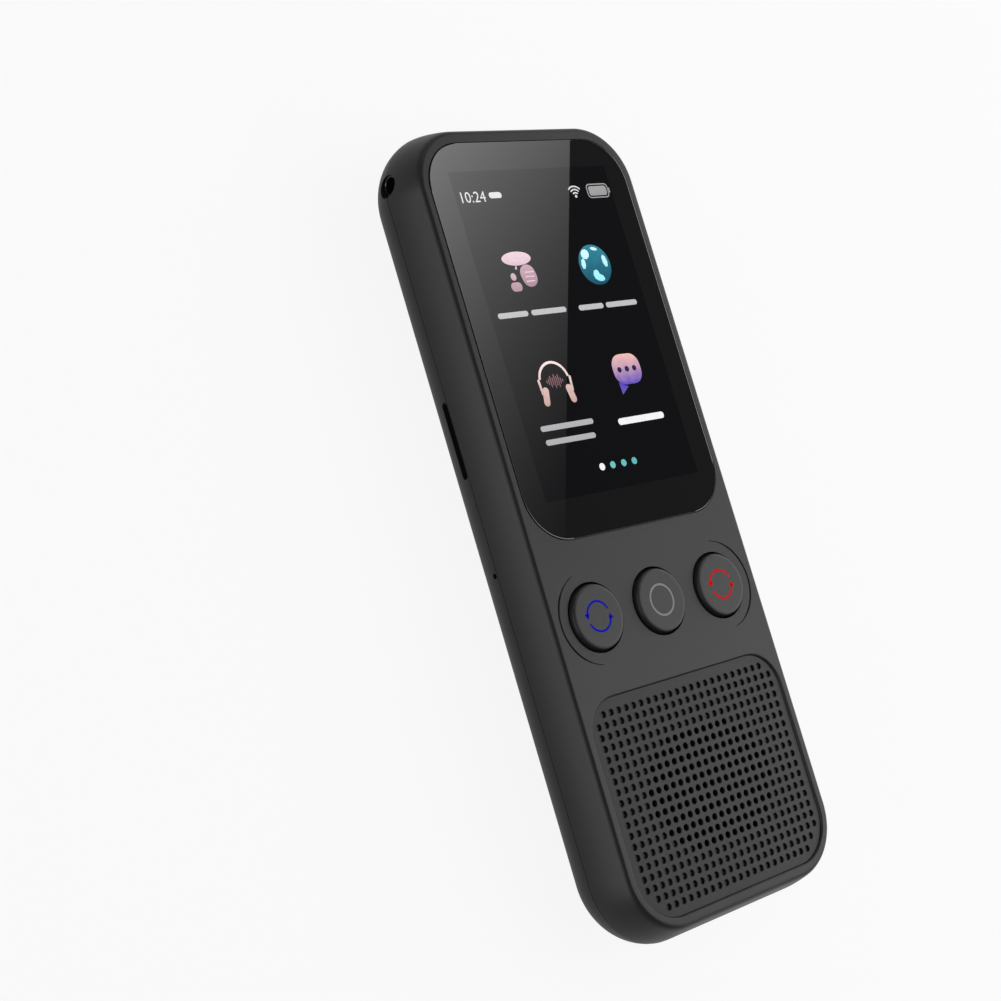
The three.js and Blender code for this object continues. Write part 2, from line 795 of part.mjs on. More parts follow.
// Main board: rounded at the screen end, notched for the side keys and the audio jack
function mainBoard() {
  const radius = bodyCornerRadius - wall - boardEdgeGap;
  const whole = roundedPoints(2 * boardHalfWidth, 2 * boardTopY, radius);
  let board = prism(whole, boardBottomZ, boardTopZ);
  const cutZ = [boardBottomZ - cutOverrun, boardTopZ + cutOverrun];
  const across = [-halfWidth, halfWidth];
  board = board.subtract(block(across, [-halfLength, boardBottomY], cutZ));
  const notchY = [sideBoardBottomY - boardNotchGap, sideBoardTopY + boardNotchGap];
  board = board.subtract(block([sideRibInnerX - boardNotchGap, halfWidth], notchY, cutZ));
  const jackHalf = jackBodyWidth / 2 + boardNotchGap;
  const jackEndX = jackFrontX + jackBodyLength + boardNotchGap;
  board = board.subtract(block([-halfWidth, jackEndX], [jackY - jackHalf, jackY + jackHalf], cutZ));
  screwPlaces.forEach(([x, y]) => {
    board = board.subtract(upright(screwRadius + screwClearance, x, y, cutZ[0], cutZ[1]));
  });
  return board;
}

function boardShield(x, length) {
  const bottom = boardTopZ + seat;
  return block(x, [shieldY - length / 2, shieldY + length / 2], [bottom, bottom + shieldHeight]);
}

function antenna() {
  const top = boardTopY - antennaEdgeGap;
  const z = [boardTopZ + seat, boardTopZ + seat + shieldHeight];
  const half = boardHalfWidth - antennaSideRoom;
  return block([-half, half], [top - antennaWidth, top], z);
}

function boardScrew([x, y]) {
  const headTopZ = boardBottomZ - seat;
  const shank = upright(screwRadius, x, y, headTopZ - seat, headTopZ + screwLength);
  return upright(screwHeadRadius, x, y, headTopZ - screwHeadHeight, headTopZ).add(shank);
}

// Audio jack: a block with a short nose, bored from the side of the body
function headphoneJack() {
  const backX = jackFrontX + jackBodyLength;
  const y = [jackY - jackBodyWidth / 2, jackY + jackBodyWidth / 2];
  const z = [partingZ - jackBodyHeight / 2, partingZ + jackBodyHeight / 2];
  const noseStartX = jackFrontX - jackNoseLength;
  const nose = crosswise(jackNoseRadius, jackY, partingZ, noseStartX, jackFrontX + jackEndWall);
  const bore = crosswise(jackBoreRadius, jackY, partingZ, jackFrontX - cutOverrun, backX - jackEndWall);
  return block([jackFrontX, backX], y, z).add(nose).subtract(bore);
}

function cardSocket() {
  const x = [cardSocketInset - halfWidth, cardSocketInset - halfWidth + cardSocketLength];
  const half = cardSlotLength / 2 + cardSocketWall;
  const y = [cardSlotY - half, cardSlotY + half];
  const z = [cardSocketTopZ - cardSocketHeight, cardSocketTopZ];
  const cavityX = [x[0] - cutOverrun, x[1] - cardSocketWall];
  const cavityY = [y[0] + 2 * cardSocketWall, y[1] - 2 * cardSocketWall];
  const cavityZ = [z[0] + cardSocketRoof, z[1] - cardSocketRoof];
  return block(x, y, z).subtract(block(cavityX, cavityY, cavityZ));
}

function microphone(side, y) {
  const outerX = side * boardHalfWidth;
  const innerX = side * (boardHalfWidth - microphoneWidth);
  const x = [Math.min(outerX, innerX), Math.max(outerX, innerX)];
  const half = microphoneLength / 2;
  return block(x, [y - half, y + half], [microphoneTopZ - microphoneHeight, microphoneTopZ]);
}

// Charging socket: a pill-shaped shell, open at the mouth, with a tongue inside
function usbSocket() {
  const pill = (shrink) => roundedPoints(
    usbWidth - 2 * shrink,
    usbHeight - 2 * shrink,
    usbHeight / 2 - shrink,
    pillSteps,
    0,
    usbZ,
  );
  const backY = usbMouthY + usbDepth;
  const shell = endPrism(pill(0), usbMouthY, backY);
  const cavity = endPrism(pill(usbWall), usbMouthY - cutOverrun, backY - usbWall);
  const half = usbTongueWidth / 2;
  const tongueZ = [usbZ - usbTongueThickness / 2, usbZ + usbTongueThickness / 2];
  const tongue = block([-half, half], [usbMouthY + usbTongueGap, backY - usbWall / 2], tongueZ);
  return shell.subtract(cavity).add(tongue);
}

function chargeBoard() {
  const half = chargeBoardWidth / 2;
  return block([-half, half], [chargeBoardEndY, chargeBoardTopY], [chargeBoardBottomZ, chargeBoardTopZ]);
}

// The ribbon between the two boards hangs from the main board and lies on the lower one
function boardRibbon() {
  const topZ = boardBottomZ - seat;
  const lowZ = chargeBoardTopZ + seat;
  const dropY = boardBottomY - ribbonThickness;
  const upperEndY = boardBottomY + boardRibbonTail;
  const lowerEndY = chargeBoardTopY - boardRibbonTail;
  return bentStrip([
    [upperEndY, topZ],
    [dropY - ribbonThickness, topZ],
    [dropY - ribbonThickness, lowZ + ribbonThickness],
    [lowerEndY, lowZ + ribbonThickness],
    [lowerEndY, lowZ],
    [dropY, lowZ],
    [dropY, topZ - ribbonThickness],
    [upperEndY, topZ - ribbonThickness],
  ], boardRibbonWidth);
}

// Battery under the main board, on a strip of tape
const batteryWidth = bodyWidth - 2 * batterySideRoom;
const batteryBottomZ = floorZ + batteryLift;
const batteryTopZ = batteryBottomZ + batteryThickness;
const batteryTopY = halfLength - batteryTopRoom;
const batteryLowY = chargeBoardTopY + batteryBoardGap;

function battery() {
  const points = roundedPoints(
    batteryWidth,
    batteryTopY - batteryLowY,
    batteryCornerRadius,
    batteryCornerSteps,
    0,
    (batteryTopY + batteryLowY) / 2,
  );
  return prism(points, batteryBottomZ, batteryTopZ);
}

function batteryTape() {
  const half = batteryWidth / 2 - batteryTapeInset;
  const y = [batteryLowY + batteryTapeInset, batteryTopY - batteryTapeInset];
  return block([-half, half], y, [floorZ + seat, batteryBottomZ - seat]);
}

const connectorY = batteryTopY + batteryConnectorSpacing;

function batteryConnector() {
  const half = batteryConnectorWidth / 2;
  const topZ = boardBottomZ - seat;
  const y = [connectorY, connectorY + batteryConnectorDepth];
  return block([-half, half], y, [topZ - batteryConnectorHeight, topZ]);
}

function batteryLead() {
  const middleZ = (batteryBottomZ + batteryTopZ) / 2;
  const startY = batteryTopY + batteryLeadGap;
  const endY = connectorY + batteryConnectorDepth / 2;
  const topZ = boardBottomZ - seat - batteryConnectorHeight - batteryLeadGap;
  return bentStrip([
    [startY, middleZ],
    [endY, middleZ],
    [endY, topZ],
    [endY - batteryLeadThickness, topZ],
    [endY - batteryLeadThickness, middleZ + batteryLeadThickness],
    [startY, middleZ + batteryLeadThickness],
  ], batteryLeadWidth);
}

// Speaker grille: a plate whose middle holes go right through, over the loudspeaker
function speakerGrille() {
  const outline = roundedPoints(
    grilleWidth,
    grilleLength,
    grilleCornerRadius,
    cornerSteps,
    0,
    grilleCentreY,
  );
  const shape = new THREE.Shape(outline);
  const columns = Math.floor(soundAreaHalfWidth / holePitchX);
  const rows = Math.floor(soundAreaHalfHeight / holePitchY);
  for (let row = -rows; row <= rows; row += 1) {
    for (let column = -columns; column <= columns; column += 1) {
      const x = column * holePitchX;
      const y = row * holePitchY;
      if ((x / soundAreaHalfWidth) ** 2 + (y / soundAreaHalfHeight) ** 2 <= 1) {
        const hole = new THREE.Path();
        for (let step = 0; step < holeSegments; step += 1) {
          const angle = -2 * Math.PI * step / holeSegments;
          const px = x + holeRadius * Math.cos(angle);
          const py = grilleCentreY + y + holeRadius * Math.sin(angle);
          hole[step === 0 ? 'moveTo' : 'lineTo'](px, py);
        }
        hole.closePath();
        shape.holes.push(hole);
      }
    }
  }
  const geometry = new THREE.ExtrudeGeometry(shape, { depth: grilleThickness, bevelEnabled: false });
  return toSolid(geometry.translate(0, 0, grilleBottomZ));
}

function speakerGasket() {
  const hole = prism(speakerPoints(-gasketWidth), gasketBottomZ - cutOverrun, gasketTopZ + cutOverrun);
  return prism(speakerPoints(0), gasketBottomZ, gasketTopZ).subtract(hole);
}

function speakerFrame() {
  const cup = prism(speakerPoints(0), speakerBottomZ, speakerTopZ);
  const wellBottomZ = speakerBottomZ + speakerFrameFloor;
  const well = prism(speakerPoints(-speakerFrameWall), wellBottomZ, speakerTopZ + cutOverrun);
  return cup.subtract(well);
}

function speakerCone() {
  const bottom = speakerBottomZ + speakerFrameFloor + coneGap;
  const sheet = prism(speakerPoints(-speakerFrameWall - coneGap), bottom, bottom + coneThickness);
  const profile = [new THREE.Vector2(0, bottom), new THREE.Vector2(coneDomeRadius, bottom)];
  for (let step = 0; step <= filletSteps; step += 1) {
    const angle = Math.PI / 2 * step / filletSteps;
    const height = coneThickness / 2 + coneDomeHeight * Math.sin(angle);
    profile.push(new THREE.Vector2(coneDomeRadius * Math.cos(angle), bottom + height));
  }
  return sheet.add(turned(profile, 0, grilleCentreY));
}

// Assembly
piece('front_housing', frontHousing(), 'housing');
piece('rear_housing', rearHousing(), 'housing');
piece('screen_glass', screenGlass(), 'glass');
piece('glass_adhesive', glassAdhesive(), 'rubber');
piece('display_panel', displayPlate(displayBottomZ, displayTopZ), 'display');
piece('display_backlight', displayPlate(backlightBottomZ, backlightTopZ), 'foil');
piece('screen_ribbon', screenRibbon(), 'ribbon');
const sideNames = ['left', 'centre', 'right'];
keyXs.forEach((x, index) => {
  piece(`key_${sideNames[index]}`, roundKey(x), 'key');
  piece(`key_switch_${sideNames[index]}`, keySwitch(x), 'steel');
});
piece('key_membrane', keyMembrane(), 'rubber');
piece('power_button', sideKey(powerKeyLength, powerKeyY), 'sideKey');
piece('volume_rocker', sideKey(volumeKeyLength, volumeKeyY), 'sideKey');
piece('power_switch', sideSwitch(powerKeyY), 'steel');
const volumeSwitchOffset = volumeKeyLength / 2 - volumeSwitchInset;
piece('volume_up_switch', sideSwitch(volumeKeyY + volumeSwitchOffset), 'steel');
piece('volume_down_switch', sideSwitch(volumeKeyY - volumeSwitchOffset), 'steel');
piece('side_key_board', sideKeyBoard(), 'board');
piece('main_board', mainBoard(), 'board');
const processorShieldX = [-shieldReach, radioShieldX - shieldSpacing];
piece('processor_shield', boardShield(processorShieldX, processorShieldLength), 'tin');
piece('radio_shield', boardShield([radioShieldX, shieldReach], radioShieldSize), 'tin');
piece('antenna', antenna(), 'plastic');
screwPlaces.forEach((place, index) => piece(`board_screw_${index + 1}`, boardScrew(place), 'steel'));
piece('headphone_jack', headphoneJack(), 'plastic');
piece('card_socket', cardSocket(), 'tin');
piece('microphone_left', microphone(-1, leftMicrophoneY), 'tin');
piece('microphone_right', microphone(1, rightMicrophoneY), 'tin');
piece('usb_socket', usbSocket(), 'steel');
piece('charge_board', chargeBoard(), 'board');
piece('board_ribbon', boardRibbon(), 'ribbon');
piece('battery', battery(), 'foil');
piece('battery_tape', batteryTape(), 'rubber');
piece('battery_connector', batteryConnector(), 'plastic');
piece('battery_lead', batteryLead(), 'plastic');
piece('speaker_grille', speakerGrille(), 'grille');
const dustMesh = prism(speakerPoints(0), dustMeshBottomZ, dustMeshTopZ);
piece('speaker_mesh', dustMesh, 'rubber');
piece('speaker_gasket', speakerGasket(), 'rubber');
piece('speaker_frame', speakerFrame(), 'plastic');
piece('speaker_cone', speakerCone(), 'plastic');
const magnetTopZ = speakerBottomZ - seat;
const magnet = upright(magnetRadius, 0, grilleCentreY, magnetTopZ - magnetHeight, magnetTopZ, roundSegments);
piece('speaker_magnet', magnet, 'steel');

export default translator;
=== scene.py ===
# %% [markdown]
# # A pocket voice translator
# The object is a slim handheld translator: a soft black plastic body, a small screen under a glass plate,
# three round keys and a perforated speaker grille. It lies on its back on a pale table.
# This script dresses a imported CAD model, which gives the size and the place of the parts. The outer ones are
# modelled again with finer edges and small corrections, and every part gets its finish.

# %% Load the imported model
import math
import bpy
from mathutils import Matrix, Vector


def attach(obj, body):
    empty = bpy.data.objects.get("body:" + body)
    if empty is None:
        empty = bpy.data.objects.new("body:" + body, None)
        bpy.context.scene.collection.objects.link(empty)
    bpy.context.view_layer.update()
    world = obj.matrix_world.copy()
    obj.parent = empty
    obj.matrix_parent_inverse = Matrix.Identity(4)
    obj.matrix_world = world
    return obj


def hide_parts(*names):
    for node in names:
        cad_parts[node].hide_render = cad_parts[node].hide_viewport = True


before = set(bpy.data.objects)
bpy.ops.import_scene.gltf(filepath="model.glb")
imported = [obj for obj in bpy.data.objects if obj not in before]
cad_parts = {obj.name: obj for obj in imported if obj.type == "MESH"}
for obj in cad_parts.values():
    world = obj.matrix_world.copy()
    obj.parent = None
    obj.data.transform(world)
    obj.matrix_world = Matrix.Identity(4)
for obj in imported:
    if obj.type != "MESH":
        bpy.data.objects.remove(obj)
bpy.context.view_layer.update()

MM = 0.001
print("parts in the model:", len(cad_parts))

# %% [markdown]
# ## The camera
# The camera stands low over the left side and looks along the body with a short telephoto lens. Its three axes
# are written out, because a camera is only a position and three directions.

# %% Place the camera
camera_right = Vector((0.73767189, -0.28184004, 0.61351966))
camera_up = Vector((0.14619638, 0.95382325, 0.26238869))
camera_back = camera_right.cross(camera_up)
bpy.ops.object.camera_add(location=Vector((-212.64, -24.51, 225.64)) * MM)
camera = bpy.context.object
camera.name = "camera"
camera.rotation_euler = Matrix((camera_right, camera_up, camera_back)).transposed().to_euler()
camera.data.lens = 68.39
camera.data.sensor_width = 36
camera.data.clip_start = 0.01
bpy.context.scene.camera = camera
print("camera", [round(v / MM, 1) for v in camera.location])

# %% [markdown]
# ## Hands for the workshop
# An operator acts on whatever is selected, so the first helpers choose one object, or some of its faces, edges or
# corners by their place. Places are in millimetres in these tests, because that is how the object is measured.

# %% Choose objects and parts of a mesh
def take(*pieces):
    """Select these objects alone and make the first one active."""
    bpy.ops.object.select_all(action="DESELECT")
    for piece in pieces:
        piece.select_set(True)
    bpy.context.view_layer.objects.active = pieces[0]


def pick(piece, kind, test):
    """Open a piece in edit mode with the corners, edges or faces selected that pass the test."""
    take(piece)
    mesh = piece.data
    for parts in (mesh.vertices, mesh.edges, mesh.polygons):
        parts.foreach_set("select", [False] * len(parts))
    if kind == "VERT":
        for corner in mesh.vertices:
            corner.select = test(corner.co / MM)
    if kind == "EDGE":
        for edge in mesh.edges:
            ends = [mesh.vertices[i].co / MM for i in edge.vertices]
            edge.select = test(*ends)
    if kind == "FACE":
        for face in mesh.polygons:
            face.select = test(face.center / MM, face.normal)
    bpy.context.tool_settings.mesh_select_mode = (kind == "VERT", kind == "EDGE", kind == "FACE")
    bpy.ops.object.mode_set(mode="EDIT")


def close(piece):
    """Leave edit mode."""
    bpy.ops.object.mode_set(mode="OBJECT")
    return piece


def pick_all(piece):
    """Open a piece in edit mode with everything selected."""
    take(piece)
    bpy.context.tool_settings.mesh_select_mode = (False, False, True)
    bpy.ops.object.mode_set(mode="EDIT")
    bpy.ops.mesh.select_all(action="SELECT")


# %% [markdown]
# Most parts of this object are flat plates with round corners, and their soft edges come from rings that step
# inwards and upwards. A plane with its four corners bevelled is the plate, and insets with a depth are the rings.

# %% Make plates, rings and walls
def set_in_place(piece, x=0, y=0, z=0, tilt=(0, 0, 0), scale=(1, 1, 1)):
    """Place a new primitive and put the place into its mesh, so that the object stays at the origin."""
    take(piece)
    piece.rotation_euler = [math.radians(angle) for angle in tilt]
    piece.location = Vector((x, y, z)) * MM
    piece.scale = scale
    bpy.ops.object.transform_apply(location=True, rotation=True, scale=True)
    return piece


def round_corners(piece, radius, steps, test):
    """Round the corners of a flat plate that pass the test."""
    pick(piece, "VERT", test)
    bpy.ops.mesh.bevel(offset=radius * MM, offset_type="OFFSET", segments=steps, affect="VERTICES")
    bpy.ops.mesh.remove_doubles(threshold=0.001 * MM)
    return close(piece)


def plate(name, width, length, radius, steps, x=0, y=0, z=0, low_radius=None):
    """A flat plate with round corners, facing up. The two corners of its low end may have their own radius."""
    bpy.ops.mesh.primitive_plane_add(size=MM)
    piece = set_in_place(bpy.context.object, x, y, z, scale=(width, length, 1))
    piece.name = name
    if low_radius is None:
        return round_corners(piece, radius, steps, lambda p: True)
    round_corners(piece, radius, steps, lambda p: p.y > y)
    return round_corners(piece, low_radius, steps, lambda p: p.y < y - length / 2 + 0.01)


def rings(piece, profile, test=lambda centre, normal: True):
    """Walk a face through the profile: each stop is how far in it is, and how far out along its normal."""
    pick(piece, "FACE", test)
    for (start_in, start_out), (end_in, end_out) in zip(profile, profile[1:]):
        bpy.ops.mesh.inset(
            thickness=max(end_in - start_in, 0) * MM,
            depth=(end_out - start_out) * MM,
            use_even_offset=True,
        )
    return close(piece)


def upper(centre, normal):
    """The faces that look up."""
    return normal.z > 0.9


def top_of(level):
    """The faces that look up at this height."""
    return lambda centre, normal: normal.z > 0.9 and abs(centre.z - level) < 0.01


def extrude(piece, height):
    """Pull all faces straight up or down, and turn the faces of the new solid outwards."""
    pick(piece, "FACE", lambda centre, normal: True)
    bpy.ops.mesh.extrude_region_move(TRANSFORM_OT_translate={"value": (0, 0, height * MM)})
    bpy.ops.mesh.select_all(action="SELECT")
    bpy.ops.mesh.normals_make_consistent(inside=False)
    return close(piece)


def slice_across(piece, axis, places):
    """Cut new edges all round a piece at these places along an axis."""
    pick_all(piece)
    for place in places:
        point, normal = [0, 0, 0], [0, 0, 0]
        point[axis], normal[axis] = place * MM, 1
        bpy.ops.mesh.select_all(action="SELECT")
        bpy.ops.mesh.bisect(plane_co=point, plane_no=normal)
    return close(piece)


def cylinder(name, radius, low, high, x=0, y=0, sides=64):
    """An upright cylinder between two heights."""
    bpy.ops.mesh.primitive_cylinder_add(vertices=sides, radius=radius * MM, depth=(high - low) * MM)
    piece = set_in_place(bpy.context.object, x, y, (low + high) / 2)
    piece.name = name
    return piece


def round_over(radius, steps):
    """The profile of a quarter-round edge."""
    angles = [math.pi / 2 * i / steps for i in range(steps + 1)]
    return [(radius * (1 - math.cos(a)), radius * math.sin(a)) for a in angles]


# %% [markdown]
# Openings are cut with the Boolean modifier and a cutter that is thrown away. After a cut, the edge of the new
# hole is found by the fold between its two faces, and a small bevel breaks it, as on any moulded part.

# %% Cut openings and soften their edges
fold, smooth_below = math.radians(35), math.radians(32)


def apply(piece, kind, **settings):
    """Add a modifier, set it and apply it."""
    take(piece)
    bpy.ops.object.modifier_add(type=kind)
    modifier = piece.modifiers[-1]
    for name, value in settings.items():
        setattr(modifier, name, value)
    bpy.ops.object.modifier_apply(modifier=modifier.name)


def cut(piece, cutter):
    """Cut a solid out of a piece and throw the cutter away."""
    apply(piece, "BOOLEAN", operation="DIFFERENCE", solver="EXACT", object=cutter)
    bpy.data.objects.remove(cutter, do_unlink=True)


def soften(piece, width, steps, test):
    """Bevel the folded edges that pass the test."""
    mesh = piece.data
    normals = {}
    for face in mesh.polygons:
        for key in face.edge_keys:
            normals.setdefault(key, []).append(face.normal.copy())
    folded = set()
    for key, sides in normals.items():
        if len(sides) == 2 and sides[0].angle(sides[1], 0) > fold:
            ends = [tuple(mesh.vertices[i].co / MM) for i in key]
            folded.update({tuple(ends), tuple(reversed(ends))})
    pick(piece, "EDGE", lambda a, b: test(a) and test(b) and (tuple(a), tuple(b)) in folded)
    bpy.ops.mesh.bevel(
        offset=width * MM,
        offset_type="OFFSET",
        segments=steps,
        profile=0.5,
        affect="EDGES",
        clamp_overlap=True,
    )
    return close(piece)


def copy_of(piece, name):
    """A copy with its own mesh."""
    twin = piece.copy()
    twin.data = piece.data.copy()
    twin.name = name
    bpy.context.scene.collection.objects.link(twin)
    return twin


def join(name, pieces):
    """One object out of several."""
    take(*pieces)
    if len(pieces) > 1:
        bpy.ops.object.join()
    pieces[0].name = name
    return pieces[0]


def hand_over(piece, material, body, slot, *nodes):
    """Shade a finished piece, give it its finish, tie it to its body, and hide the nodes of the model that it
    stands for.
    """
    take(piece)
    bpy.ops.object.shade_smooth_by_angle(angle=smooth_below)
    apply(piece, "WEIGHTED_NORMAL", keep_sharp=True)
    piece.data.name = piece.name
    piece.data.materials.clear()
    piece.data.materials.append(material)
    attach(piece, body)
    if nodes:
        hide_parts(*nodes)
    corners = [v.co / MM for v in piece.data.vertices]
    box = [[round(f(c[i] for c in corners), 2) for i in range(3)] for f in (min, max)]
    print(piece.name, len(piece.data.polygons), "faces", box)


# %% [markdown]
# ## Shader maths in Python
# A material is a net of nodes. The small class below wraps one socket, so that `1 - mask * 0.5` adds its own
# Math nodes. One method makes every other node.

# %% Wrap a shader socket
class Wire:
    """A socket of a material's node tree that takes part in Python expressions."""

    def __init__(self, tree, socket):
        self.tree = tree
        self.socket = socket

    def node(self, kind, settings, sockets, out=0):
        """Add a node: its settings first, then the values or wires of its sockets."""
        new = self.tree.nodes.new(kind)
        for name, value in settings.items():
            setattr(new, name, value)
        for name, value in sockets.items():
            if isinstance(value, Wire):
                self.tree.links.new(value.socket, new.inputs[name])
            else:
                new.inputs[name].default_value = value
        return Wire(self.tree, new.outputs[out])

    def math(self, operation, a, b):
        """One step of arithmetic."""
        return self.node("ShaderNodeMath", {"operation": operation}, {0: a, 1: b})

    def __add__(self, other):
        return self.math("ADD", self, other)

    def __radd__(self, other):
        return self.math("ADD", other, self)

    def __sub__(self, other):
        return self.math("SUBTRACT", self, other)

    def __rsub__(self, other):
        return self.math("SUBTRACT", other, self)

    def __mul__(self, other):
        return self.math("MULTIPLY", self, other)

    def __lt__(self, other):
        return self.math("LESS_THAN", self, other)

    def __abs__(self):
        return self.math("ABSOLUTE", self, 0.0)

    def clamp(self):
        """The value held between 0 and 1."""
        return self.node("ShaderNodeClamp", {}, {"Value": self})

    def fade(self, start, end):
        """0 at one value, 1 at another, and a straight line between them."""
        return self.node(
            "ShaderNodeMapRange",
            {"clamp": True},
            {"Value": self, "From Min": start, "From Max": end},
        )

    def blend(self, dark, light):
        """Mix two colours by this wire."""
        return self.node("ShaderNodeMix", {"data_type": "RGBA"}, {0: self, 6: dark, 7: light}, out=2)

    def noise(self, size, detail=2.0, stretch=(1, 1, 1)):
        """Noise whose grains are about this many millimetres wide. This wire is the place on the object."""
        place = self
        if stretch != (1, 1, 1):
            place = self.node("ShaderNodeMapping", {}, {"Vector": self, "Scale": stretch})
        return self.node("ShaderNodeTexNoise", {}, {"Vector": place, "Scale": 1 / (size * MM), "Detail": detail})

    def waves(self, axis, scale, distortion=0.0):
        """Stripes that follow each other along an axis. This wire is the place on the object."""
        return self.node(
            "ShaderNodeTexWave",
            {"bands_direction": axis},
            {"Vector": self, "Scale": scale, "Distortion": distortion},
        )

    def axes(self):
        """The three numbers of a place, in metres."""
        split = self.node("ShaderNodeSeparateXYZ", {}, {"Vector": self}).socket.node
        return [Wire(self.tree, socket) for socket in split.outputs]

    def bump(self, height, depth, strength=1.0):
        """A relief of this many millimetres."""
        return self.node("ShaderNodeBump", {}, {"Height": height, "Distance": depth * MM, "Strength": strength})


def new_material(name):
    """A material, its shader, and the place on the object as a wire."""
    material = bpy.data.materials.new(name)
    material.use_nodes = True
    tree = material.node_tree
    shader = tree.nodes["Principled BSDF"]
    place = Wire(tree, tree.nodes.new("ShaderNodeTexCoord").outputs["Object"])
    return material, shader, place


def connect(shader, **sockets):
    """Set or link the sockets of a shader. An underscore stands for a space."""
    for name, value in sockets.items():
        socket = shader.inputs[name.replace("_", " ")]
        if isinstance(value, Wire):
            value.tree.links.new(value.socket, socket)
        else:
            socket.default_value = value


# %% [markdown]
# ## Moulded black plastic
# The shells are matt black plastic with a fine spark-eroded grain. Two noises do it: a broad one that lets the
# tone and the gloss drift a little, as mould and hands leave them, and a fine one for the grain itself. The face,
# the grille and the keys differ only by a few hundredths in gloss.

# %% Mix the plastics
def grey(value, tint=0.0):
    """A grey, with its blue raised by a share."""
    return (value, value, value * (1 + tint), 1)


def moulded(name, tone, gloss, grain=0.16, relief=0.004, specular=0.5):
    """Moulded plastic with a grain of this size."""
    material, shader, place = new_material(name)
    drift = place.noise(9.0)
    fine = place.noise(grain, detail=3.0)
    rubbed = place.noise(3.0, stretch=(1, 0.15, 1)).fade(0.58, 0.75)
    connect(
        shader,
        Base_Color=(drift * 0.6 + fine * 0.4).blend(grey(tone * 0.8), grey(tone * 1.2, 0.03)),
        Roughness=gloss - 0.04 + drift * 0.05 + fine * 0.05 - rubbed * 0.02,
        Normal=place.bump(fine, relief, 0.5),
        Specular_IOR_Level=specular,
    )
    return material


shell_plastic = moulded("shell_plastic", 0.016, 0.40, specular=0.3)
grille_plastic = moulded("grille_plastic", 0.016, 0.43, specular=0.27)
key_plastic = moulded("key_plastic", 0.016, 0.38, grain=0.12, relief=0.003, specular=0.33)
gloss_plastic = moulded("gloss_plastic", 0.006, 0.14, grain=0.5, relief=0.0015)
inner_plastic = moulded("inner_plastic", 0.03, 0.5, grain=0.3)
print("plastics:", shell_plastic.name, grille_plastic.name, key_plastic.name, gloss_plastic.name)

# %% [markdown]
# ## The front shell
# The front half of the body has sides that lean inwards, faster towards the top, and a narrow soft edge where
# they meet the flat face. It is one plate that climbs through rings which follow that curve. A last ring on the
# flat face keeps the big face's shading flat. The two ends lean less than the long sides, so each ring is then
# stretched lengthwise. Slices part the face between its openings, so that each cut works on a small piece of it.

# %% Raise the front shell
body_width, body_length, corner = 50.6, 130.6, 11.7
parting, side_top, face = 8.4, 13.8, 14.6
side_height, front_height = side_top - parting, face - parting
lean, end_lean, lean_power = 1.95, 1.4, 1.4
flat_in, seam, wall, corner_steps = 2.75, 0.05, 1.5, 28

front = plate("front_shell", body_width, body_length, corner, corner_steps, z=parting + seam)
extrude(front, 0.02)
climb = [(lean * (i / 14) ** lean_power, side_height * i / 14) for i in range(15)]
bend_in = lean + (face - side_top) * lean_power * lean / side_height
for i in range(1, 9):
    t = i / 8
    inward = lean * (1 - t) ** 2 + 2 * bend_in * t * (1 - t) + flat_in * t ** 2
    upward = side_height * (1 - t) ** 2 + 2 * front_height * t * (1 - t) + front_height * t ** 2
    climb.append((inward, upward))
climb = [(inward, max(upward, seam + 0.02)) for inward, upward in climb]
climb.append((flat_in + 0.2, front_height))
rings(front, climb, upper)
for level in sorted({upward for _, upward in climb}):
    share = min(level / side_height, 1) ** lean_power
    pick(front, "VERT", lambda p: abs(p.z - parting - level) < 0.004)
    bpy.ops.transform.resize(value=(1, 1 + (lean - end_lean) * share / (body_length / 2 - lean * share), 1))
    close(front)

inner_size = (body_width - 2 * wall, body_length - 2 * wall, corner - wall)
hollow = plate("cutter", *inner_size, corner_steps, z=parting - 0.4)
extrude(hollow, 0.4)
inner_climb = [(0, 0), (0.1, 1.0), (0.5, 2.5), (1.1, 3.8), (1.95, 4.7)]
rings(hollow, inner_climb, upper)
cut(front, hollow)
between_openings, between_keys = (-62.5, -27.2, -23.0, -8.0, -4.5, 62.2), (-7, 7)
slice_across(front, 1, between_openings)
slice_across(front, 0, between_keys)
print("front shell", len(front.data.polygons), "faces")

# %% [markdown]
# The face has a pocket for the glass, a window for the display, three round key holes and the opening of the
# speaker grille. The grille's edge is soft and wide, and the others are crisp.

# %% Open the face
glass_y, glass_width, glass_length, glass_corner = 29.25, 43.0, 64.7, 7.8
key_row, key_pitch, key_radius, key_hole = -15.5, 14.0, 5.3, 5.5
grille_y, grille_width, grille_length, grille_corner, grille_low_corner = -44.75, 42.8, 34.1, 6.0, 7.4


def prism(name, width, length, radius, low, high, y, steps=16, low_radius=None):
    """A solid with round corners between two heights."""
    return extrude(plate(name, width, length, radius, steps, y=y, z=low, low_radius=low_radius), high - low)


def on_face(half_width, low, high):
    """The places on the flat face inside a rectangle."""
    return lambda p: abs(p.z - face) < 0.01 and abs(p.x) < half_width and low < p.y < high


def on_rim(key_x):
    """The places on the rim of a key hole."""
    return lambda p: abs(p.z - face) < 0.01 and abs(math.hypot(p.x - key_x, p.y - key_row) - key_hole) < 0.02


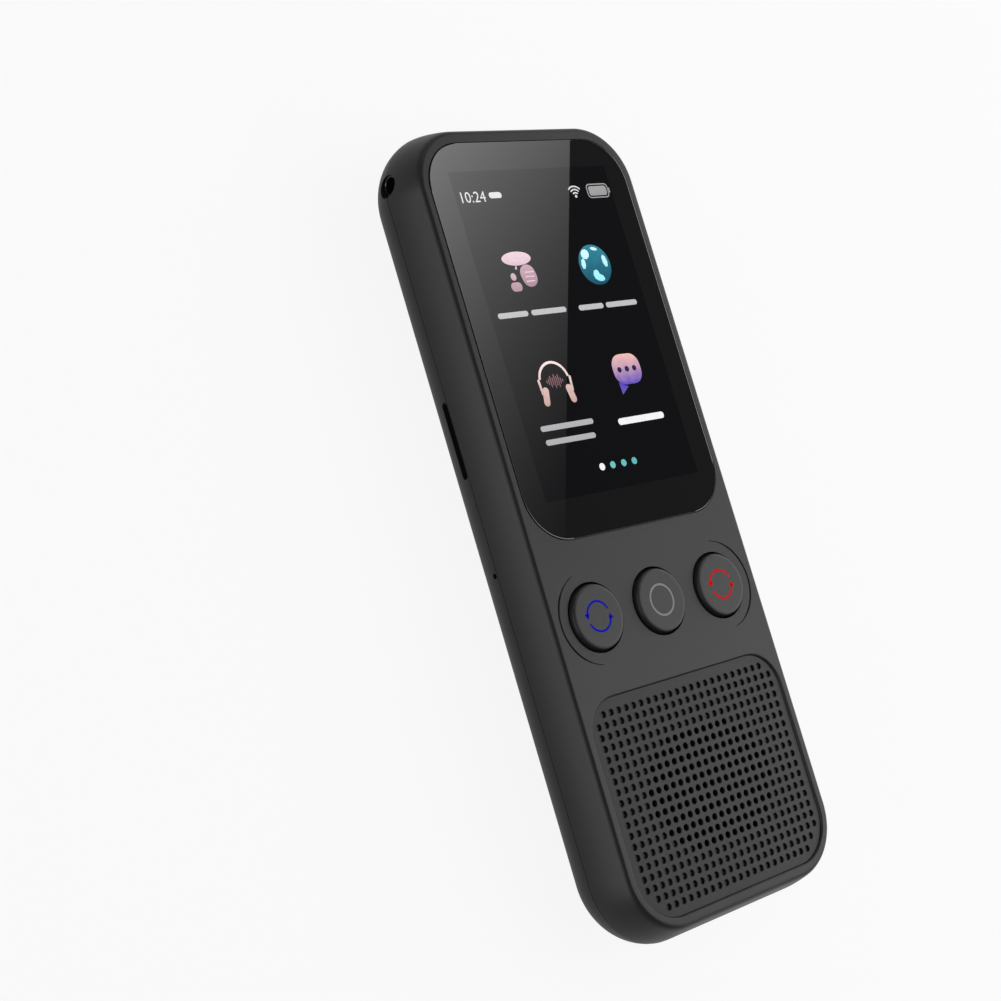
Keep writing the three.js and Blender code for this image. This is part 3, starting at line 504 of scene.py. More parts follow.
grille_gap, glass_gap = 0.05, 0.12
grille_edge, pocket_edge, hole_edge = 0.34, 0.07, 0.12
opening = (grille_width + 2 * grille_gap, grille_length + 2 * grille_gap, grille_corner + grille_gap)
cut(front, prism("cutter", *opening, 11, 17, grille_y, low_radius=grille_low_corner + grille_gap))
soften(front, grille_edge, 5, on_face(21.8, grille_y - 17.2, grille_y + 17.2))
pocket = (glass_width + 2 * glass_gap, glass_length + 2 * glass_gap, glass_corner + glass_gap)
cut(front, prism("cutter", *pocket, 13.8, 17, glass_y))
soften(front, pocket_edge, 2, on_face(22.4, -4, 61.8))
window_width, window_length, window_corner = 37.6, 59.6, 0.3
cut(front, prism("cutter", window_width, window_length, window_corner, 12, 14.5, glass_y - 0.1, steps=3))
for key_x in (-key_pitch, 0, key_pitch):
    cut(front, cylinder("cutter", key_hole, 11, 17, key_x, key_row, sides=72))
    soften(front, hole_edge, 2, on_rim(key_x))
print("face opened", len(front.data.polygons), "faces")

# %% [markdown]
# A fine crescent is cut round the outer side of the left key and of the right key. The cutter is a small
# three-cornered section, spun about the key's middle. Its two ends are lifted with proportional editing, so that
# the groove gets shallower and runs out.

# %% Cut the two crescents
groove_radius, groove_section, groove_depth = 7.32, 0.28, 0.21
left_groove, right_groove = (109.7, 149.9), (-79.8, 162.6)


def round_key(key_x, degrees):
    """The place on a groove at this angle about its key."""
    angle = math.radians(degrees)
    return Vector((key_x + groove_radius * math.cos(angle), key_row + groove_radius * math.sin(angle)))


def groove_cutter(key_x, start, sweep):
    """A three-cornered bar, bent round a key from one angle over another, that runs out of the face at its ends."""
    bpy.ops.mesh.primitive_circle_add(vertices=3, radius=groove_section * MM, fill_type="NGON")
    x, y = round_key(key_x, start)
    section = set_in_place(bpy.context.object, x, y, face - 0.02, tilt=(-90, 0, start))
    pick_all(section)
    centre = (key_x * MM, key_row * MM, face * MM)
    bpy.ops.mesh.spin(steps=48, angle=-math.radians(sweep), center=centre, axis=(0, 0, 1))
    bpy.ops.mesh.select_all(action="SELECT")
    bpy.ops.mesh.remove_doubles(threshold=0.001 * MM)
    bpy.ops.mesh.fill_holes(sides=0)
    bpy.ops.mesh.normals_make_consistent(inside=False)
    close(section)
    for end in (start, start + sweep):
        tip = round_key(key_x, end)
        pick(section, "VERT", lambda p: (Vector((p.x, p.y)) - tip).length < 0.3)
        bpy.ops.transform.translate(
            value=(0, 0, groove_depth * MM),
            use_proportional_edit=True,
            proportional_edit_falloff="SMOOTH",
            proportional_size=6 * MM,
        )
        close(section)
    low = min(v.co.z for v in section.data.vertices) / MM
    reach = [round(f(v.co[i] for v in section.data.vertices) / MM, 2) for i in (0, 1) for f in (min, max)]
    print("groove cutter bottom", round(low, 3), "reach", reach)
    return section


cut(front, groove_cutter(-key_pitch, *left_groove))
cut(front, groove_cutter(key_pitch, *right_groove))

# %% [markdown]
# ## The openings of the sides
# The key slots of the right side and the audio socket of the left side lie on the parting line, so both shells
# are cut with the same cutters. The card slot, the pinholes and the charging port are in the rear shell.

# %% Make the side cutters
side_key_width, side_key_gap, slot_near, outside = 4.0, 0.2, 22.6, 28
power_y, power_length = 40.0, 11.4
volume_y, volume_length = 20.8, 19.2
jack_x, jack_y, jack_radius = -23.8, 57.3, 1.8


def side_solid(name, length, width, near, far, y, z):
    """A pill-shaped solid that runs outwards along X from one depth to another."""
    piece = plate(name, width, length, width / 2 - 0.02, 12)
    extrude(piece, far - near)
    return set_in_place(piece, near, y, z, tilt=(0, 90, 0))


def side_cutters():
    """The openings that both shells share."""
    for y, length in ((power_y, power_length), (volume_y, volume_length)):
        slot_size = (length + 2 * side_key_gap, side_key_width + 2 * side_key_gap)
        yield side_solid("cutter", *slot_size, slot_near, outside, y, parting)
    jack = cylinder("cutter", jack_radius, -3.5, 3.5, sides=48)
    yield set_in_place(jack, jack_x, jack_y, parting, tilt=(0, 90, 0))


for cutter in side_cutters():
    cut(front, cutter)
hand_over(front, shell_plastic, "root", "housing", "front_housing")

# %% [markdown]
# ## The rear shell
# The back is a deep tray. Its sides start upright at the parting line and sweep into the flat underside on a
# quarter of an ellipse, which gives the body its soft, pebble-like back.

# %% Lower the rear shell
rear = plate("rear_shell", body_width, body_length, corner, corner_steps, z=parting - seam)
pick_all(rear)
bpy.ops.mesh.flip_normals()
close(rear)
back_in = 9.9
quarter = [math.pi / 2 * i / 20 for i in range(21)]
drop = [(back_in * (1 - math.cos(a)), max(parting * math.sin(a), seam)) for a in quarter]
rings(rear, drop + [(back_in + 0.3, parting)])
apply(rear, "SOLIDIFY", thickness=wall * MM, offset=-1, use_even_offset=True)

for cutter in side_cutters():
    cut(rear, cutter)
card_length, card_height, card_x, card_y, card_z = 12.35, 1.3, -22.8, 16.2, 7.65
cut(rear, side_solid("cutter", card_length, card_height, -outside, card_x, card_y, card_z))
pinhole_radius, pinhole_z = 0.45, 7.775
for pinhole_x, pinhole_y in ((-body_width / 2, -5.35), (body_width / 2, 48.4)):
    pinhole = cylinder("cutter", pinhole_radius, -3, 3, sides=24)
    cut(rear, set_in_place(pinhole, pinhole_x, pinhole_y, pinhole_z, tilt=(0, 90, 0)))
port_width, port_height, port_corner, port_y, port_z = 9.44, 3.7, 1.83, -60.3, 6.05
port = extrude(plate("cutter", port_width, port_height, port_corner, 12), 7)
cut(rear, set_in_place(port, 0, port_y, port_z, tilt=(90, 0, 0)))
hand_over(rear, shell_plastic, "root", "housing", "rear_housing")

# %% [markdown]
# ## The speaker grille
# A flat plate lies a third of a millimetre below the face, with 467 small holes on a grid. Only the holes over the
# loudspeaker go through, inside an oval, and the rest are dimples. The first row and the last two lack a hole or
# two at each end. A deep and a shallow cutter with a flared top are copied to each place, and the copies of each
# kind are cut out together.

# %% Drill the grille
grille_top = 14.25
pitch_x, pitch_y, hole_radius, mouth_flare, grid_y = 1.631, 1.668, 0.5, 1.4, -44.9
hole_depth, dimple_depth, mouth_depth = 1.6, 0.4, 0.08
columns, rows, missing_holes = 25, 19, {0: 1, 17: 1, 18: 2}
through_x, through_y = 13.86, 9.67
outline = (grille_width, grille_length, grille_corner)
grille = plate("grille", *outline, 16, y=grille_y, z=grille_top, low_radius=grille_low_corner)
extrude(grille, -1.0)
slice_across(grille, 0, [(i - (columns - 2) / 2) * pitch_x for i in range(columns - 1)])
slice_across(grille, 1, [grid_y + (i - (rows - 2) / 2) * pitch_y for i in range(rows - 1)])


def drill(name, depth):
    """A cutter with a slightly flared mouth."""
    bit = cylinder(name, hole_radius, grille_top - depth, grille_top - mouth_depth, sides=14)
    rings(bit, [(0, 0), (0, 0.2)], upper)
    pick(bit, "VERT", lambda p: p.z > grille_top)
    bpy.ops.transform.resize(value=(mouth_flare, mouth_flare, 1))
    return close(bit)


deep, shallow = drill("deep_bit", hole_depth), drill("shallow_bit", dimple_depth)
through, dimples = [], []
for row in range(rows):
    missing = missing_holes.get(row, 0)
    for column in range(missing, columns - missing):
        x, y = (column - columns // 2) * pitch_x, (rows // 2 - row) * pitch_y
        is_through = (x / through_x) ** 2 + (y / through_y) ** 2 <= 1
        twin = copy_of(deep if is_through else shallow, "bit")
        twin.data.transform(Matrix.Translation(Vector((x, grid_y + y, 0)) * MM))
        (through if is_through else dimples).append(twin)
print("holes", len(through), "dimples", len(dimples))
cut(grille, join("through_bits", through))
cut(grille, join("dimple_bits", dimples))
for bit in (deep, shallow):
    bpy.data.objects.remove(bit, do_unlink=True)
hand_over(grille, grille_plastic, "root", "grille", "speaker_grille")

# %% [markdown]
# ## Glass
# The cover glass is printed black from behind, so it looks like a black plate with a deep gloss. The display
# behind it is a shade bluer than the black print and mirrors a little less, so it shows as a faint rectangle.
# Fine smears change only the gloss.

# %% Mix the glass
glass, shader, place = new_material("cover_glass")
x, y, _ = place.axes()
display_half_width, display_half_length, display_y = 17.2, 26.85, 30.0
display = (abs(x) < display_half_width * MM) * (abs(y - display_y * MM) < display_half_length * MM)
smears = place.noise(14.0, detail=4.0, stretch=(1, 0.4, 1)).fade(0.45, 0.75)
connect(
    shader,
    Base_Color=display.blend((0.0062, 0.0062, 0.0062, 1), (0.0018, 0.0020, 0.0036, 1)),
    Roughness=0.006 + smears * 0.006,
    Specular_IOR_Level=0.43,
    IOR=1.5,
    Coat_Weight=(1 - display) * 0.14,
    Coat_Roughness=0.006,
)

# %% Lay the glass
glass_top, glass_thickness, glass_edge = 14.68, 1.1, 0.04
glass_size = (glass_width, glass_length, glass_corner)
screen = plate("screen_plate", *glass_size, 20, y=glass_y, z=glass_top - glass_thickness)
extrude(screen, glass_thickness - glass_edge)
rings(screen, round_over(glass_edge, 3) + [(0.2, glass_edge)], top_of(glass_top - glass_edge))
hand_over(screen, glass, "root", "glass", "screen_glass")

# %% [markdown]
# ## What the screen shows
# A home screen: the time, the signal and battery signs, four pictures with plain bars in place of their
# captions, and four page dots. Each mark is a sheet of light one hundredth of a millimetre proud of the glass.
# The sheets are cut from discs, rings and bars.

# %% Make flat marks
def disc(x, y, width, height, turn=0, sides=40):
    """A flat oval, or a shape with a few sides."""
    bpy.ops.mesh.primitive_circle_add(vertices=sides, radius=0.5 * MM, fill_type="NGON")
    return set_in_place(bpy.context.object, x, y, tilt=(0, 0, turn), scale=(width, height, 1))


def bar(x, y, width, height, turn=0, radius=None):
    """A flat bar with round ends, or with round corners of this radius."""
    piece = plate("bar", width, height, radius or min(width, height) / 2 * 0.98, 6)
    return set_in_place(piece, x, y, tilt=(0, 0, turn))


def ring(x, y, radius, stroke, start=0, sweep=360):
    """A flat ring, or the part of it from one angle onwards, anticlockwise."""
    piece = disc(0, 0, 2 * radius, 2 * radius, sides=72)
    rings(piece, [(0, 0), (stroke, 0)])
    outside = lambda c: (math.degrees(math.atan2(c.y, c.x)) - start) % 360 > sweep
    pick(piece, "FACE", lambda c, n: c.length < radius / 2 or (sweep < 360 and outside(c)))
    bpy.ops.mesh.delete(type="FACE")
    close(piece)
    return set_in_place(piece, x, y)


def sheet_of(name, marks, low):
    """Join flat marks and make them a sheet of a fiftieth of a millimetre at a height."""
    piece = join(name, marks)
    set_in_place(piece, 0, 0, low)
    return extrude(piece, 0.02)


# %% [markdown]
# The marks shine with their own light, a little, and take the rest from the room. Pictures have soft changes of
# colour across them, so their colour follows the place on the glass.

# %% Mix the lights of the screen
def light(name, low_colour, high_colour, start, end, axis=1):
    """A lit ink that changes colour along X or Y between two places in millimetres."""
    material, shader, place = new_material(name)
    along = place.axes()[axis].fade(start * MM, end * MM)
    mottle = place.noise(1.2).fade(0.3, 0.7) * 0.15
    colour = (along * 0.9 + mottle).clamp().blend((*low_colour, 1), (*high_colour, 1))
    connect(shader, Base_Color=colour, Emission_Color=colour, Emission_Strength=0.55, Roughness=0.08)
    return material


# The white marks are painted darker towards the top of the screen: a painted shade that offsets the bright
# reflection lying over the clock.
white_light_painted_shade = light("white_light_painted_shade", (0.84, 0.84, 0.86), (0.58, 0.58, 0.59), 0, 60)
grey_light = light("grey_light", (0.24, 0.24, 0.24), (0.32, 0.32, 0.32), 50, 54)
teal_light = light("teal_light", (0.10, 0.40, 0.42), (0.16, 0.50, 0.46), 3, -3, axis=0)
caption_light = light("caption_light", (0.36, 0.36, 0.37), (0.46, 0.46, 0.47), 10, 36)


sunk, show_x, show_y = 0.008, 0.37, 0.1


def show(name, marks, material, lift=0.0):
    """Put flat marks on the screen, sunk a little into the glass. The whole picture is shifted by the same step."""
    piece = sheet_of(name, marks, glass_top - sunk + lift)
    hand_over(set_in_place(piece, show_x, show_y), material, "root", "display")


# %% Show the status line and the captions
bpy.ops.object.text_add()
digits = bpy.context.object.data
digits.body = "10:24"
digits.size = 2.55 * MM
digits.extrude = 0.01 * MM
digits.resolution_u = 4
bpy.ops.object.convert(target="MESH")
clock = set_in_place(bpy.context.object, -16.53, 51.7, glass_top + 0.002)
clock.name = "clock_digits"
pick_all(clock)
bpy.ops.mesh.remove_doubles(threshold=0.001 * MM)
close(clock)
hand_over(clock, white_light_painted_shade, "root", "display")

signal = [disc(8.35, 51.65, 0.5, 0.5)]
signal += [ring(8.35, 51.55, r, 0.24, 45, 90) for r in (0.85, 1.4, 1.95)]
battery_x, battery_y, dots_y = 13.65, 52.42, 6.92
battery_line = bar(battery_x, battery_y, 5.0, 2.5, radius=0.75)
rings(battery_line, [(0, 0), (0.2, 0)])
pick(battery_line, "FACE", lambda c, n: (c - Vector((battery_x, battery_y, 0))).length < 0.2)
bpy.ops.mesh.delete(type="FACE")
close(battery_line)
after_clock, plain_caption = bar(-9.2, 52.6, 2.7, 1.0), bar(7.77, 13.5, 10.6, 1.1)
signs = signal + [disc(-3.87, dots_y, 1.2, 1.2), after_clock, plain_caption]
show("status_signs", signs, white_light_painted_shade)
knob, charge = bar(battery_x + 2.7, battery_y, 0.25, 0.9), bar(battery_x, battery_y, 4.1, 1.65, radius=0.45)
show("battery_level", [battery_line, knob, charge], grey_light)
dots = [disc(dot_x, dots_y, 1.15, 1.15) for dot_x in (-1.49, 0.99, 3.39)]
show("page_dots", dots, teal_light)
captions = [
    (-12.9, 32.93, 6.4, 0.9), (-5.2, 32.93, 7.6, 0.9), (4.2, 32.86, 5.6, 0.9), (11.2, 32.86, 7.2, 0.9),
    (-8.57, 14.39, 11.4, 0.9), (-8.62, 12.13, 10.8, 0.9),
]
show("caption_bars", [bar(*caption) for caption in captions], caption_light)

# %% [markdown]
# The four pictures are a talk picture in pinks, a teal globe, a rose-gold pair of headphones with a sound wave,
# and a speech balloon in violet and peach.

# %% Draw the pink talk picture
pink = light("pink_light", (0.36, 0.22, 0.27), (0.75, 0.55, 0.62), 37, 43)
balloons = [disc(-8.8, 41.95, 6.2, 2.3), disc(-9.4, 40.5, 0.5, 1.3, turn=-20, sides=3)]
person = [disc(-10.5, 39.0, 1.15, 1.25), bar(-10.4, 37.35, 2.3, 1.5, radius=0.7)]
show("talk_picture", balloons + person, pink)
mauve = light("mauve_light", (0.30, 0.17, 0.22), (0.50, 0.33, 0.39), 37, 41)
show("talk_balloon", [bar(-7.2, 39.0, 3.2, 3.7, turn=12, radius=1.5)], mauve)
lines = [bar(-7.1 + 0.1 * i, 38.1 + 0.75 * i, 1.9, 0.22) for i in range(3)]
lines += [bar(-8.8, 42.0 + s, 3.6, 0.16) for s in (-0.35, 0.3)]
pale_pink = light("pale_pink_light", (0.62, 0.42, 0.50), (0.72, 0.55, 0.62), 37, 43)
show("talk_lines", lines, pale_pink, 0.004)

# %% Draw the globe
sea = light("sea_light", (0.003, 0.05, 0.09), (0.02, 0.20, 0.28), 36.4, 43)
show("globe_sea", [disc(7.9, 39.8, 7.0, 6.9, sides=64)], sea)
land = light("land_light", (0.25, 0.72, 0.85), (0.62, 0.86, 0.92), 36.5, 43)
lands = [
    disc(6.3, 41.7, 1.9, 1.7, turn=30, sides=9), disc(5.4, 40.1, 1.0, 1.9, turn=-10, sides=7),
    disc(8.1, 37.6, 2.4, 1.3, turn=-15, sides=8), disc(7.6, 38.3, 1.5, 1.3, turn=40, sides=6),
    disc(10.3, 40.3, 1.1, 2.2, turn=8, sides=7), disc(8.6, 42.5, 1.6, 0.6, turn=-12, sides=7),
]
show("globe_land", lands, land, 0.004)

# %% Draw the headphones
rose = light("rose_light", (0.46, 0.27, 0.23), (0.88, 0.72, 0.70), 18, 25)
head_x, head_y = -8.4, 21.6
arch = [ring(head_x, head_y, 3.3, 0.42, 8, 164)]
arms = [bar(head_x + 3.3 * s, head_y - 0.7, 0.45, 2.6, turn=-4 * s) for s in (-1, 1)]
cups = [bar(head_x + 2.7 * s, head_y - 2.3, 1.25, 3.1, turn=12 * s) for s in (-1, 1)]
show("headphone_picture", arch + arms + cups, rose)
plum = light("plum_light", (0.16, 0.07, 0.09), (0.24, 0.12, 0.14), 20, 23)
heights = (0.5, 1.1, 1.9, 1.3, 2.3, 1.6, 2.1, 1.0, 0.5)
wave = [bar(head_x + 0.42 * (i - 4), head_y, 0.22, height) for i, height in enumerate(heights)]
show("sound_wave", wave, plum)

# %% Draw the speech balloon
violet = light("violet_light", (0.06, 0.05, 0.42), (0.80, 0.46, 0.40), 19.6, 24.6)
chat_x, chat_y = 7.9, 21.9
tail = disc(chat_x - 2, chat_y - 3, 2.4, 2.4, turn=35, sides=3)
show("chat_balloon", [bar(chat_x, chat_y, 6.3, 5.1, radius=2.1), tail], violet)
night = light("night_light", (0.012, 0.010, 0.035), (0.02, 0.016, 0.05), 18, 25)
show("chat_dots", [disc(chat_x + 1.7 * i, chat_y, 0.95, 0.95) for i in (-1, 0, 1)], night, 0.004)

# %% [markdown]
# ## The round keys
# A key is a cap on a wider flange that stays under the face. Its top edge is rounded, and the sign on it is
# printed ink: two turning arrows in blue, a thin grey ring, and two turning arrows in red.

# %% Mix the inks
def ink(name, colour, glow):
    """A matt ink with patches, and a painted glow, a little light that printed ink does not have, which keeps its
    colour strong.
    """
    material, shader, place = new_material(name)
    patchy = place.noise(0.6).fade(0.3, 0.7)
    shade = patchy.blend((*[c * 0.85 for c in colour], 1), (*colour, 1))
    connect(
        shader,
        Base_Color=shade,
        Emission_Color=shade,
        Emission_Strength=glow,
        Roughness=0.5 + patchy * 0.05,
        Specular_IOR_Level=0.03,
    )
    return material


# The printed signs glow a little: painted light, since print has no light of its own.
blue_ink = ink("blue_ink", (0.0, 0.002, 0.36), glow=0.4)
red_ink = ink("red_ink", (0.57, 0.0, 0.001), glow=0.4)
grey_ink = ink("grey_ink", (0.29, 0.29, 0.29), glow=0.15)
pale_ink = ink("pale_ink", (0.55, 0.55, 0.55), glow=0.1)

# %% Turn one key and copy it
key_top, crown, flange, flange_top = 15.33, 0.37, 0.9, 12.3
cap = cylinder("key_cap", key_radius + flange, 11.6, flange_top, sides=72)
rings(cap, [(0, 0), (flange, 0), (0.93, 1.9), (1.1, key_top - crown - flange_top)], upper)
rings(cap, round_over(0.32, 6) + [(0.5, crown), (0.58, crown)], top_of(key_top - crown))
for side, key_x in (("left", -key_pitch), ("centre", 0.0), ("right", key_pitch)):
    key = copy_of(cap, "round_key_" + side)
    key.data.transform(Matrix.Translation(Vector((key_x, key_row, 0)) * MM))
    hand_over(key, key_plastic, side + "_key", "key", "key_" + side)
bpy.data.objects.remove(cap, do_unlink=True)


# %% Print the signs of the keys
def turning_arrows(key_x):
    """Two arcs, each with a three-cornered head that points on round the circle."""
    arcs = [ring(key_x, key_row, 2.5, 0.32, start, 150) for start in (22, 202)]
    heads = [disc(key_x + 2.33 * s, key_row - 0.45 * s, 1.3, 1.2, turn=90 - 90 * s, sides=3) for s in (-1, 1)]
    return arcs + heads


def key_sign(side, marks, material):
    """Print flat marks on the top of a key."""
    hand_over(sheet_of(side + "_sign", marks, key_top - sunk), material, side + "_key", "key")


key_sign("left", turning_arrows(-key_pitch), blue_ink)
key_sign("centre", [ring(0, key_row, 2.62, 0.33)], grey_ink)
key_sign("right", turning_arrows(key_pitch), red_ink)

# %% [markdown]
# ## The side keys
# The power key and the volume rocker are glossy pills that stand a little proud of the right side, with pale
# signs. Each is modelled flat, facing up, and then turned to face outwards.

# %% Shape the side keys
side_key_face, lip, stem, side_sunk = 25.9, 0.6, 2.9, 0.012
pill_crown = [(0, 0), (0.08, 0.16), (0.22, 0.28), (0.45, 0.36), (0.8, 0.39), (1.2, 0.40)]


def side_key(name, y, length, body, node):
    """A pill with a domed face, on a lip that stays behind the wall."""
    piece = plate(name, side_key_width + 2 * lip, length + 2 * lip, side_key_width / 2 + 0.5, 14)
    extrude(piece, lip)
    rings(piece, [(0, 0), (lip, 0), (lip, stem)], upper)
    rings(piece, pill_crown, top_of(lip + stem))
    set_in_place(piece, side_key_face - lip - stem - pill_crown[-1][1], y, parting, tilt=(0, 90, 0))
    hand_over(piece, gloss_plastic, body, "side_key", node)


side_key("power_pill", power_y, power_length, "power_key", "power_button")
side_key("volume_pill", volume_y, volume_length, "volume_key", "volume_rocker")


def side_sign(name, marks, body):
    """Print flat marks on the face of a side key."""
    piece = sheet_of(name, marks, 0)
    set_in_place(piece, side_key_face - side_sunk, 0, parting, tilt=(0, 90, 0))
    hand_over(piece, pale_ink, body, "side_key")


side_sign("power_sign", [ring(0, 40.6, 1.0, 0.22, 125, 290), bar(0, 41.4, 0.22, 1.3)], "power_key")
plus = [bar(0, 27.0, 1.7, 0.24), bar(0, 27.0, 0.24, 1.7)]
side_sign("volume_signs", plus + [bar(0, 14.9, 1.7, 0.24)], "volume_key")

# %% [markdown]
# ## The audio socket
# A black plastic sleeve with a rounded rim lines the audio socket, a little way in.

# %% Line the audio socket
sleeve_x, sleeve_half = -22.5, 1.1
sleeve_rim = [(0, 0), (0.08, 0.06), (0.26, 0.06), (0.34, 0), (0.34, -2.1)]
sleeve = cylinder("jack_sleeve", jack_radius - 0.04, -sleeve_half, sleeve_half, sides=40)
rings(sleeve, sleeve_rim, upper)
set_in_place(sleeve, sleeve_x, jack_y, parting, tilt=(0, -90, 0))
hand_over(sleeve, gloss_plastic, "root", "plastic")

# %% [markdown]
# ## The parts inside
# The shells hide them, but each has its finish: plated and tinned metal, circuit boards with their copper tracks
# under green lacquer, a battery in foil, amber ribbons, black rubber and woven dust cloth.

# %% Mix the inner finishes
def metal(name, colour, gloss, brushed):
    """Metal with broad blots, and with fine streaks that lie across the axis with the large number."""
    material, shader, place = new_material(name)
    streaks = place.noise(0.5, detail=3.0, stretch=brushed)
    blots = place.noise(4.0).fade(0.4, 0.7)
    tone = (streaks * 0.5 + blots * 0.5).blend((*[c * 0.82 for c in colour], 1), (*colour, 1))
    connect(shader, Base_Color=tone, Metallic=1.0, Roughness=gloss + streaks * 0.12 + blots * 0.05)
    return material


def board_lacquer():
    """Green lacquer over winding copper tracks."""
    material, shader, place = new_material("board_lacquer")
    across = place.waves("X", 330.0, distortion=6.0).fade(0.55, 0.6)
    along = place.waves("Y", 250.0, distortion=5.0).fade(0.6, 0.65)
    tracks = (across + along).clamp()
    connect(
        shader,
        Base_Color=tracks.blend((0.006, 0.045, 0.022, 1), (0.02, 0.12, 0.05, 1)),
        Roughness=0.3 + place.noise(2.0) * 0.1,
        Normal=place.bump(tracks, 0.03, 0.6),
    )
    return material


def rubber(name, tone):
    """Dull rubber with some dust on it."""
    material, shader, place = new_material(name)
    dust = place.noise(1.5, detail=4.0)
    connect(shader, Base_Color=dust.blend(grey(tone * 0.7), grey(tone * 1.3)), Roughness=0.75 + dust * 0.12)
    return material


def ribbon_film():
    """Amber film with its conductors shining through."""
    material, shader, place = new_material("ribbon_film")
    lines = place.waves("X", 600.0).fade(0.4, 0.6)
    amber = lines.blend((0.30, 0.12, 0.015, 1), (0.42, 0.20, 0.05, 1))
    connect(shader, Base_Color=amber, Roughness=0.32 + lines * 0.08)
    return material


def battery_foil():
    """Crumpled silver foil."""
    material, shader, place = new_material("battery_foil")
    crumple = place.noise(5.0, detail=5.0)
    connect(
        shader,
        Base_Color=crumple.blend((0.50, 0.51, 0.53, 1), (0.64, 0.65, 0.67, 1)),
        Metallic=0.8,
        Roughness=0.35 + crumple * 0.15,
        Normal=place.bump(crumple, 0.15, 0.5),
    )
    return material


def dust_cloth():
    """A fine black weave."""
    material, shader, place = new_material("dust_cloth")
    weave = place.waves("X", 1500.0) * place.waves("Y", 1500.0)
    connect(
        shader,
        Base_Color=weave.blend(grey(0.004), grey(0.018)),
        Roughness=0.8 + weave * 0.1,
        Normal=place.bump(weave, 0.03),
    )
    return material


def display_cell():
    """The dark face of a display that is off."""
    material, shader, place = new_material("display_cell")
    haze = place.noise(8.0)
    dark = haze.blend((0.004, 0.004, 0.006, 1), (0.009, 0.009, 0.013, 1))
    connect(shader, Base_Color=dark, Roughness=0.12 + haze * 0.05)
    return material


nickel = metal("nickel", (0.62, 0.60, 0.57), 0.22, brushed=(1, 12, 1))
tin_sheet = metal("tin_sheet", (0.60, 0.61, 0.62), 0.30, brushed=(10, 1, 1))

# %% [markdown]
# The solids of the outer parts get the same finishes as their new shapes above.

# %% Dress the parts of the model
finishes = {
    shell_plastic: ("front_housing", "rear_housing"),
    grille_plastic: ("speaker_grille",),
    glass: ("screen_glass",),
    key_plastic: ("key_left", "key_centre", "key_right"),
    gloss_plastic: ("power_button", "volume_rocker"),
    board_lacquer(): ("main_board", "side_key_board", "charge_board"),
    tin_sheet: ("processor_shield", "radio_shield", "card_socket", "microphone_left", "microphone_right"),
    nickel: (
        "usb_socket", "key_switch_left", "key_switch_centre", "key_switch_right", "power_switch",
        "volume_up_switch", "volume_down_switch", "board_screw_1", "board_screw_2", "board_screw_3",
        "board_screw_4", "speaker_magnet",
    ),
    inner_plastic: (
        "antenna", "headphone_jack", "battery_connector", "battery_lead", "speaker_frame", "speaker_cone",
    ),
    rubber("black_rubber", 0.02): ("key_membrane", "glass_adhesive", "battery_tape", "speaker_gasket"),
    dust_cloth(): ("speaker_mesh",),
    ribbon_film(): ("screen_ribbon", "board_ribbon"),
    battery_foil(): ("battery", "display_backlight"),
    display_cell(): ("display_panel",),
}
for material, names in finishes.items():
    for name in names:
        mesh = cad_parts[name].data
        mesh.materials.clear()
        mesh.materials.append(material)
dressed = {name for names in finishes.values() for name in names}
print("dressed", len(dressed), "missing", sorted(set(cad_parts) - dressed))

# %% [markdown]
# ## Table and lights
# The table is pale. A part of its brightness is its own wherever the camera or a reflection sees it, so that it
# stays near white without more light on the black body, and it still takes the body's shadow.

# %% Lay the table
bpy.ops.mesh.primitive_plane_add(size=8)
table = set_in_place(bpy.context.object, 0, 0, -0.02)
table.name = "table"
table_paint, shader, place = new_material("table_paint")
tree = place.tree
path = tree.nodes.new("ShaderNodeLightPath")
seen = [Wire(tree, path.outputs[name]) for name in ("Is Camera Ray", "Is Glossy Ray", "Is Transmission Ray")]
direct = (seen[0] * 0.9 + seen[1] * 0.4 + seen[2] * 0.9).clamp()
connect(shader, Base_Color=place.noise(40.0).blend(grey(0.84), grey(0.86)), Roughness=0.9, Specular_IOR_Level=0.1)
own_light = tree.nodes.new("ShaderNodeEmission")
own_light.inputs["Strength"].default_value = 1.0
mix = tree.nodes.new("ShaderNodeMixShader")
tree.links.new(direct.socket, mix.inputs[0])
tree.links.new(shader.outputs[0], mix.inputs[1])
tree.links.new(own_light.outputs[0], mix.inputs[2])
tree.links.new(mix.outputs[0], tree.nodes["Material Output"].inputs["Surface"])
table.data.materials.append(table_paint)

# %% [markdown]
# The key light hangs over the right side. Its edge is what cuts the glass into a light and a dark part, and its
# brightness falls towards its near low corner, so that the glass gets darker down the screen. Seven plain lights
# do the rest: one for the face below the keys, one for the rounding of the low end, one for the narrow face beside
# the glass, a weak one overhead for the soft edge, one for each long side and one from behind.

# %% Hang the lights
def soft_light(name, centre, towards, along, width, height, radiance):
    """A rectangular light: its middle, what it faces, the direction of its width, its size in metres, its glow."""
    centre, towards, along = Vector(centre), Vector(towards), Vector(along).normalized()
    bpy.ops.object.light_add(type="AREA", location=centre)
    lamp = bpy.context.object
    lamp.name = name
    facing = (towards - centre).normalized()
    facing = (facing - along * facing.dot(along)).normalized()
    lamp.rotation_euler = Matrix((along, (-facing).cross(along), -facing)).transposed().to_euler()
    lamp.data.shape = "RECTANGLE"
    lamp.data.size, lamp.data.size_y = width, height
    lamp.data.energy = radiance * math.pi * width * height
    return lamp


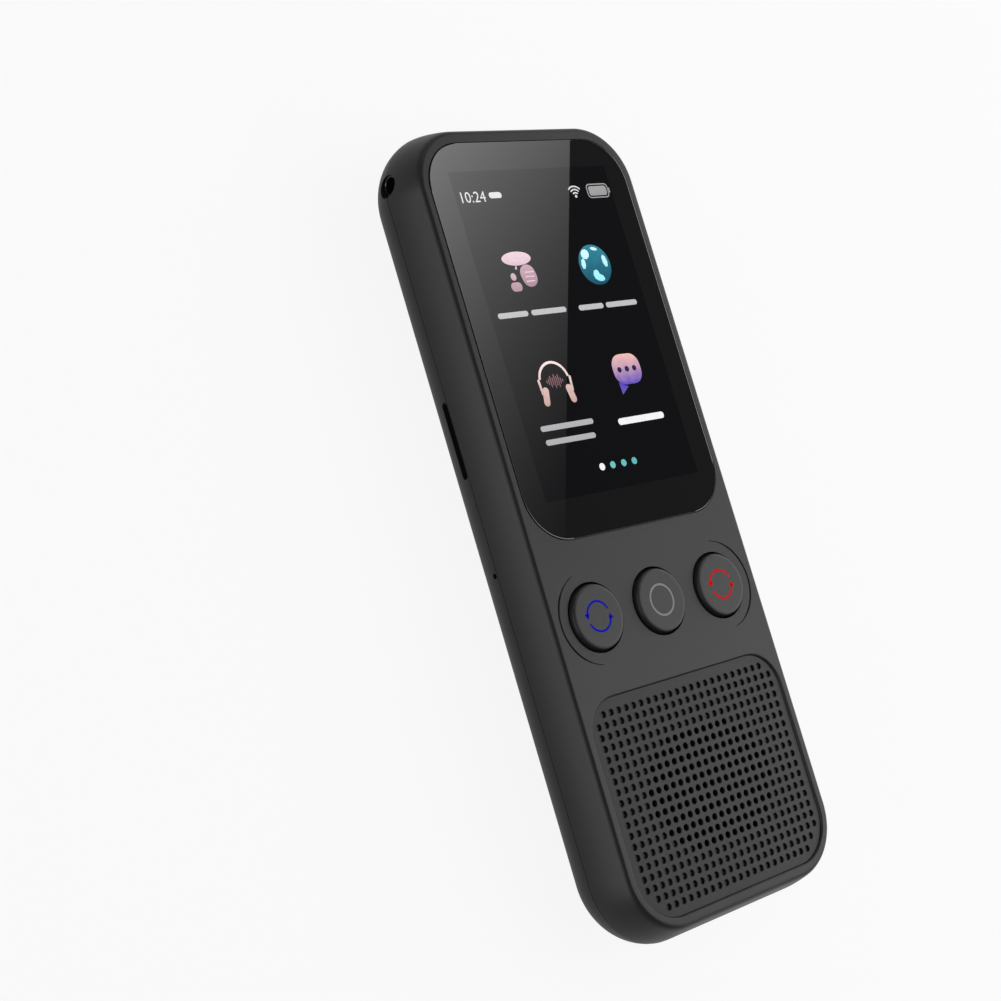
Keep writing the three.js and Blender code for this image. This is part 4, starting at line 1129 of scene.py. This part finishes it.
def light_nodes(lamp):
    """The node tree of a light, and the place on its face, from 0 to 1 both ways."""
    lamp.data.use_nodes = True
    tree = lamp.data.node_tree
    return tree, Wire(tree, tree.nodes.new("ShaderNodeNewGeometry").outputs["Parametric"])


edge_a, edge_b = Vector((0.4568, 0.2278, 0.4362)), Vector((0.3749, 0.0310, 0.4362))
edge, edge_middle = (edge_a - edge_b).normalized(), (edge_a + edge_b) / 2
rise = Vector((-0.723, 0.301, 0.621))
key_length, key_height, key_near = 0.285, 0.125, 0.12
middle = edge_middle + edge * (key_length / 2 - key_near) + rise * key_height / 2
key_light = soft_light("key_softbox", middle, (0, 0, 0.015), edge, key_length, key_height, 1.0)
tree, place = light_nodes(key_light)
along, up, _ = place.axes()
gain_along, gain_up, least = 4.93, 9.69, 0.659
along_edge = along * key_length - key_near
slope = (along_edge * gain_along + up * (gain_up * key_height) + least).fade(0, 2) * 2
tree.links.new((slope * slope).socket, tree.nodes["Emission"].inputs["Strength"])

middle = edge_middle - edge * 0.21 - rise * 0.04
soft_light("front_softbox", middle, (0, -0.03, 0.015), edge, 0.18, 0.32, 3.7)
soft_light("corner_softbox", (0.46, -0.46, 0.36), (0, -0.02, 0.015), (0.71, 0.70, 0), 0.36, 0.26, 2.2)
soft_light("rim_softbox", (0.544, 0.165, 0.391), (0.022, 0.035, 0.015), (0, 1, 0), 0.21, 0.12, 4.0)
soft_light("top_softbox", (0, 0.1, 0.8), (0, 0.1, 0), (0, 1, 0), 0.8, 0.5, 0.35)
soft_light("right_softbox", (0.72, 0.22, 0.22), (0, 0.22, 0.01), (0, 1, 0), 1.06, 0.26, 2.6)
soft_light("left_softbox", (-0.75, -0.05, 0.15), (0, 0, 0.01), (0, 1, 0), 0.9, 0.22, 4.2)
soft_light("back_softbox", (0.1, 0.9, 0.55), (0, 0, 0.01), (1, 0, 0), 0.8, 0.4, 1.2)
world = bpy.data.worlds.new("room")
world.use_nodes = True
world.node_tree.nodes["Background"].inputs["Color"].default_value = grey(0.12)
bpy.context.scene.world = world
bpy.context.scene.view_settings.view_transform = "Standard"
